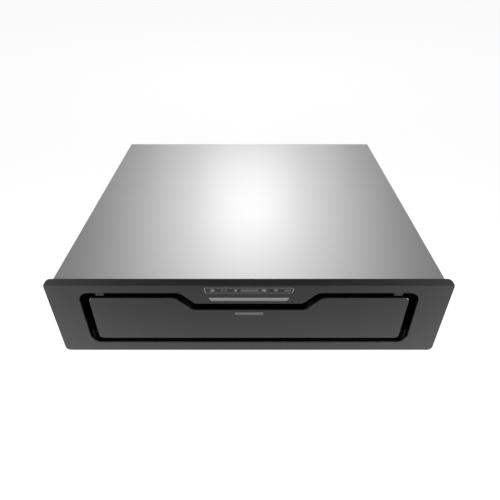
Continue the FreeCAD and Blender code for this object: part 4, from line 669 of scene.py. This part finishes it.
lattice = bmesh.new()
layer_room = mesh_high.y - mesh_low.y - 1.2 * MM
first_layer = mesh_low.y + 0.4 * MM
fine, coarse = (10 * MM, 5.2 * MM), (14 * MM, 7.2 * MM)
for layer, diamond in enumerate((fine, coarse, fine)):
    expanded_sheet(lattice, first_layer + layer * layer_room / 2, diamond, layer)
mesh_metal = brushed("expanded aluminium", (0.46, 0.47, 0.48), (0.66, 0.67, 0.68), 0.32,
                     (1, 1, 1), grain=700, groove=4e-6)
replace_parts(piece("filter_lattice", lattice, mesh_metal, "filter"),
            "filter_mesh")


# ---------------------------------------------------------------- filter's wire handle
# Bail of 2.6 mm zinc-plated steel wire, drawn and bent cold, sprung into two riveted eyes.
# Faint drawing lines run along its straight stretch.
wire = brushed("drawn wire", (0.46, 0.46, 0.45), (0.62, 0.62, 0.60), 0.27, (30, 1, 8), 2400, 2e-6)
wire.on("wire_handle")


# ---------------------------------------------------------------- tilting panel
# Shallow pan pressed from 1.2 mm steel with a flat plate closing it behind. It has the fascia's
# dark coat, a touch smoother, and its folded edges behind the face are coloured near-black:
# painted shade, as on the fascia's cut-out.
panel_dark, panel_light = (0.0185, 0.0185, 0.0190), (0.0290, 0.0290, 0.0297)
panel_coat = powder_coat("panel powder coat", panel_dark, panel_light, 0.33)
panel_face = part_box("panel_skin")[0].y
# Folded edges behind the panel's face turn near-black: painted shade.
panel_fold_shade = panel_coat.along(1).between(panel_face + shade_margin, panel_face + 2 * shade_margin)
panel_coat.feed("Base Color", panel_fold_shade.mix(panel_coat.colour, fold_shade_black))
panel_coat.on("panel_skin")
powder_coat("panel back coat", (0.012, 0.012, 0.013), (0.020, 0.020, 0.021), 0.45).on("panel_back")


# ---------------------------------------------------------------- badge
# Plain lozenge of brushed aluminium, half a millimetre thick, glued on the panel under the
# controls. Its brushing runs across the panel, and it carries no mark.
badge_metal = brushed("brushed badge", (0.19, 0.193, 0.197), (0.27, 0.273, 0.278), 0.38, (40, 1, 1))
badge_metal.on("panel_badge")


# ---------------------------------------------------------------- panel hinge and catches
# Blackened stub pins riveted in the panel's side folds turn in two black plates.
# Two black brackets carry sintered ferrite magnets that hold zinc discs on the panel's back.
oxide = brushed("black oxide", (0.010, 0.010, 0.010), (0.022, 0.022, 0.022), 0.42,
                (1, 1, 1), grain=900, groove=2e-6)
oxide.on("hinge_pins")
powder_coat("catch paint", (0.012, 0.012, 0.013), (0.02, 0.02, 0.021), 0.45).on("catch_brackets")
ferrite = Coat("sintered ferrite", Metallic=0.0)
grain = ferrite.noise(3200, detail=4.0)
ferrite.feed("Base Color", grain.mix((0.030, 0.030, 0.032), (0.085, 0.085, 0.088)))
ferrite.feed("Roughness", grain * 0.2 + 0.45)
ferrite.relief(grain, 1.5e-5)
ferrite.on("catch_magnets")
strike = brushed("strike disc", (0.32, 0.32, 0.31), (0.44, 0.44, 0.42), 0.36,
                 (1, 1, 1), grain=900, groove=2e-6)
strike.on("strike_plates")


# ---------------------------------------------------------------- blower scroll
# Two halves moulded in grey glass-filled polypropylene, whose short fibres show as pale flecks.
# The scroll stands on four posts, over a flared inlet ring and a welded wire finger guard.
def glass_filled(name, dark, light, roughness=0.52):
    """Plastic with short glass fibres: pale flecks drawn out the way it flowed, on a dull skin."""
    coat = moulded(name, dark, light, roughness)
    fibres = coat.noise(2800, detail=2.0, stretch=(7, 1, 1)).between(0.66, 0.72)
    flow = coat.noise(22, detail=3.0, stretch=(3, 1, 1))
    coat.feed("Base Color", (fibres * 0.35 + flow * 0.65).mix(dark, light))
    return coat


scroll_grey = glass_filled("scroll plastic", (0.11, 0.115, 0.12), (0.20, 0.205, 0.21))
scroll_grey.on("scroll_lower", "scroll_lid", "inlet_ring", "blower_posts")
guard_wire = brushed("guard wire", (0.50, 0.50, 0.48), (0.64, 0.64, 0.61), 0.30,
                     (1, 1, 1), grain=900, groove=2e-6)
guard_wire.on("inlet_guard")


# ---------------------------------------------------------------- motor and impeller
# Painted motor can with a band of bare laminations round its middle, hung on a galvanised bracket.
# Its ground shaft carries a black moulded impeller, held by a brass nut.
enamel = (0.035, 0.035, 0.037), (0.06, 0.06, 0.062)
motor_paint = powder_coat("motor paint", *enamel, 0.4)
motor_low, motor_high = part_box("motor")
band_low = motor_low.z + 16 * MM
band_high = motor_high.z - 12 * MM
band_edge = 0.2 * MM
height = motor_paint.along(2)
past_low = height.between(band_low - band_edge, band_low)
past_high = height.between(band_high, band_high + band_edge)
band = past_low * (1 - past_high)
sheets = {"Vector": motor_paint.place, "Scale": 320, "Distortion": 0.6}
laminations = motor_paint.start.node("TexWave", sheets, out=1, bands_direction="Z")
bare = laminations.mix((0.09, 0.088, 0.085), (0.24, 0.235, 0.23))
painted = motor_paint.noise(14, detail=4.0).mix(*enamel)
motor_paint.feed("Base Color", band.mix(painted, bare))
motor_paint.feed("Metallic", band)
motor_paint.relief(laminations * band, 8e-5)
motor_paint.on("motor")
glass_filled("impeller plastic", (0.012, 0.012, 0.013), (0.035, 0.035, 0.037), 0.42).on("impeller")
ground = brushed("ground shaft", (0.48, 0.48, 0.48), (0.60, 0.60, 0.60), 0.20,
                 (1, 1, 0.05), grain=2400, groove=1e-6)
ground.on("motor_shaft")
brass = brushed("brass nut", (0.55, 0.40, 0.16), (0.72, 0.55, 0.26), 0.30,
                (1, 1, 1), grain=900, groove=2e-6)
brass.on("shaft_nut")


# ---------------------------------------------------------------- outlet, duct collar and damper
# Adapter and collar moulded in black polypropylene, the collar screwed on the rear wall by two
# ears. In it two half-moon flaps of thin galvanised sheet swing on one pin, shut by a spring.
outlet_black = moulded("collar plastic", (0.014, 0.014, 0.015), (0.026, 0.026, 0.027), 0.48,
                       pebble_per_metre=2000, pebble=2e-5)
outlet_black.on("outlet_adapter", "duct_collar")
flap_sheet = galvanised("flap sheet", (0.34, 0.35, 0.36), (0.46, 0.47, 0.48), 0.38)
flap_sheet.on("damper_flap_left", "damper_flap_right")
spring_wire = brushed("spring wire", (0.42, 0.42, 0.42), (0.58, 0.58, 0.58), 0.24,
                      (1, 1, 1), grain=1500, groove=1e-6)
spring_wire.on("damper_pin", "damper_spring", "capacitor_clip")


# ---------------------------------------------------------------- cable gland
# Black nylon gland: a hexagon against the rear wall, a fluted dome nut, and a soft seal in its open
# bore. A zinc-plated hexagon nut clamps its threaded shank from inside.
gland_low, gland_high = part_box("cable_gland")
gland_middle = (gland_low + gland_high) / 2
bore = 3.8 * MM
hex_reach = 10.9 * MM
hex_height = 6 * MM
gland = bmesh.new()
# Threaded shank, then the hexagon with its corners chamfered both ways.
shank_root, shank_crest = 7.3 * MM, 7.95 * MM
shank_length = wall_face - gland_low.y
thread = [(bore, 0), (shank_root, 0)]
thread_pitch = 1.5 * MM
for i in range(int(shank_length / thread_pitch)):
    for radius, share in ((shank_root, 0.1), (shank_crest, 0.5), (shank_root, 0.9)):
        thread.append((radius, (i + share) * thread_pitch))
thread += [(shank_root, shank_length), (bore, shank_length), (bore, 0)]
gland_start = Vector((gland_middle.x, gland_low.y, gland_middle.z))
turned(gland, thread, gland_start, (0, 1, 0), segments=48)


def hexagon(angle):
    """Radius of a hexagon's side at an angle, as a share of its corner's."""
    sixth = math.pi / 3
    return math.cos(sixth / 2) / math.cos(angle % sixth - sixth / 2)


def hexagon_collar(build, start, height, reach, inner):
    """A hexagon with a bore, its corners chamfered at both ends."""
    bevel = 0.9 * MM
    end_radius = reach * 0.86
    profile = [(inner, 0), (end_radius, 0), (reach, bevel), (reach, height - bevel),
               (end_radius, height), (inner, height), (inner, 0)]
    turned(build, profile, start, (0, 1, 0), segments=72,
           flute=lambda angle, h: hexagon(angle) if 0 < h < height else 1)


wall_start = Vector((gland_middle.x, wall_face, gland_middle.z))
hexagon_collar(gland, wall_start, hex_height, hex_reach, bore)
# Dome nut with twelve shallow finger flutes, open at its mouth.
mouth_mm = 5.2
flute_count, flute_depth, flute_end = 12, 0.025, 6 * MM
dome_mm = [(mouth_mm, 0), (8.9, 0), (9.0, 0.6), (9.0, 3.6), (8.6, 5.2), (7.8, 7.0), (6.8, 8.4),
           (6.0, 8.9), (mouth_mm, 8.9), (mouth_mm, 0)]
dome = [(radius * MM, height * MM) for radius, height in dome_mm]
dome_start = wall_start + Vector((0, hex_height, 0))


def finger_flute(angle, height):
    """Radius of the fluted dome at an angle, as a share of its plain radius."""
    if 0 < height < flute_end:
        return 1 - flute_depth * (1 - math.cos(flute_count * angle))
    return 1


turned(gland, dome, dome_start, (0, 1, 0), segments=96, flute=finger_flute)
nylon = moulded("black nylon", (0.010, 0.010, 0.010), (0.020, 0.020, 0.020), 0.4,
                pebble_per_metre=3000, pebble=8e-6)
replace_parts(piece("gland_body", gland, nylon, "hood"), "cable_gland")

seal = bmesh.new()
seal_foot, seal_lip = 0.3 * MM, 7.4 * MM
seal_mm = [(5.15, 0.3), (5.15, 7.9), (4.7, 8.4), (4.1, 8.1)]
seal_wall = [(radius * MM, height * MM) for radius, height in seal_mm]
seal_profile = [(bore, seal_foot)] + seal_wall + [(bore, seal_lip), (bore, seal_foot)]
turned(seal, seal_profile, dome_start, (0, 1, 0), segments=48)
piece("gland_seal", seal, black_rubber, "hood")

nut = bmesh.new()
nut_low, nut_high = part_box("gland_nut")
nut_reach, nut_bore = 11.4 * MM, 8 * MM
nut_start = Vector((gland_middle.x, nut_low.y, gland_middle.z))
hexagon_collar(nut, nut_start, nut_high.y - nut_low.y, nut_reach, nut_bore)
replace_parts(piece("gland_locknut", nut, plated, "hood"), "gland_nut")


# ---------------------------------------------------------------- control box and what is in it
# Off-white flame-retardant box and lid on the base, moulded plain, with the main board on its
# stand-offs. The motor's capacitor is a white moulded can, and the terminals a white screw block.
white_box = moulded("box plastic", (0.56, 0.55, 0.52), (0.70, 0.69, 0.66), 0.42)
white_box.on("control_box", "control_box_lid", "run_capacitor")
moulded("terminal plastic", (0.62, 0.62, 0.60), (0.76, 0.76, 0.74), 0.34).on("terminal_block")
stand_off = 5 * MM
main_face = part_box("main_board")[0].z + stand_off + board_thickness
main_parts = ((0.03, 0.05, 0.16), (0.06, 0.09, 0.26))
circuit_board("main board", 2, main_face, True, main_parts).on("main_board")


# ---------------------------------------------------------------- wiring loom
# Bundle of thin wires in a black corrugated sleeve, clipped along the right-hand wall.
# The sleeve's ribs are about 2 mm apart.
sleeve = moulded("corrugated sleeve", (0.010, 0.010, 0.010), (0.022, 0.022, 0.022), 0.5)
rings = {"Vector": sleeve.place, "Scale": 80}
ribs = sleeve.start.node("TexWave", rings, out=1, bands_direction="Y")
sleeve.relief(ribs, 5e-4)
sleeve.on("wiring_loom")


# ---------------------------------------------------------------- studio
# A plain pale floor runs out to a white room. It throws most of its light close to the fascia,
# and the room is darker on the side that the fascia faces. Soft boxes stand behind, above and at
# both sides.
floor_mesh = bpy.data.meshes.new("floor")
floor_build = bmesh.new()
bmesh.ops.create_grid(floor_build, x_segments=8, y_segments=8, size=9.0)
floor_build.to_mesh(floor_mesh)
floor_build.free()
floor = bpy.data.objects.new("floor", floor_mesh)
floor.location.z = -0.5 * MM
bpy.context.scene.collection.objects.link(floor)
floor_white = Coat("white sweep", Metallic=0.0, Roughness=1.0, Specular_IOR_Level=0.0,
                   Emission_Strength=1.0)
floor_white.feed("Base Color", floor_white.noise(3).mix((0.12, 0.12, 0.12), (0.13, 0.13, 0.13)))
sheet_white = 0.93
pool_bright, pool_dim = 0.88, 0.36
pool_far, pool_near = 0.16, 0.005
foremost = cad_box[0].y
nearness = floor_white.along(1).between(foremost - pool_far, foremost - pool_near)
pool = nearness * (pool_bright - pool_dim) + pool_dim
looked_at = floor_white.start.node("LightPath", out=0)
glow = looked_at * sheet_white + (1 - looked_at) * pool
floor_white.feed("Emission Color", glow.mix((0, 0, 0), (1, 1, 1)))
floor_mesh.materials.append(floor_white.material)

room = bpy.data.worlds.new("studio room")
room.use_nodes = True
air = Flow(room.node_tree)
direction = air.node("TexCoord", out="Generated")
rearward = air.node("SeparateXYZ", {0: direction}, out=1).between(-0.5, 0.3)
rear_light, front_light = 0.28, 0.06
room_light = rearward * (rear_light - front_light) + front_light
seen = air.node("LightPath", out=0)
background = room.node_tree.nodes["Background"]
background.inputs["Color"].default_value = (1, 1, 1, 1)
room.node_tree.links.new((seen + (1 - seen) * room_light).socket, background.inputs["Strength"])
bpy.context.scene.world = room


def soft_box(name, power, size, at, towards):
    """A square area light of that side, in metres, turned towards a point."""
    lamp = bpy.data.lights.new(name, "AREA")
    lamp.energy = power
    lamp.size = size
    holder = bpy.data.objects.new(name, lamp)
    holder.location = at
    holder.rotation_mode = "QUATERNION"
    holder.rotation_quaternion = (Vector(towards) - Vector(at)).to_track_quat("-Z", "Y")
    bpy.context.scene.collection.objects.link(holder)


behind, top_middle = (0.0, 1.64, 1.17), (0.0, -0.08, 0.14)
soft_box("rear box", power=2.15, size=0.5, at=behind, towards=top_middle)
soft_box("wide rear box", power=2.74, size=1.2, at=behind, towards=top_middle)
soft_box("overhead box", power=13.2, size=2.4, at=(0.0, 1.9, 2.2), towards=(0.0, 0.0, 0.14))
for side in (-1, 1):
    beside, fascia_end = (side * 0.75, -0.38, 0.125), (side * 0.3, -0.27, 0.07)
    soft_box("side box", power=9.6, size=0.24, at=beside, towards=fascia_end)

lens = bpy.data.cameras.new("camera")
lens.lens = 30.6
lens.clip_start = 0.01
camera_aside, camera_ahead, camera_height = 1.5 * MM, 0.465, 0.5395
camera = bpy.data.objects.new("camera", lens)
camera.location = (camera_aside, foremost - camera_ahead, camera_height)
camera.rotation_euler = (math.radians(54), 0, 0)
bpy.context.scene.collection.objects.link(camera)
bpy.context.scene.camera = camera
bpy.context.scene.view_settings.view_transform = "Standard"
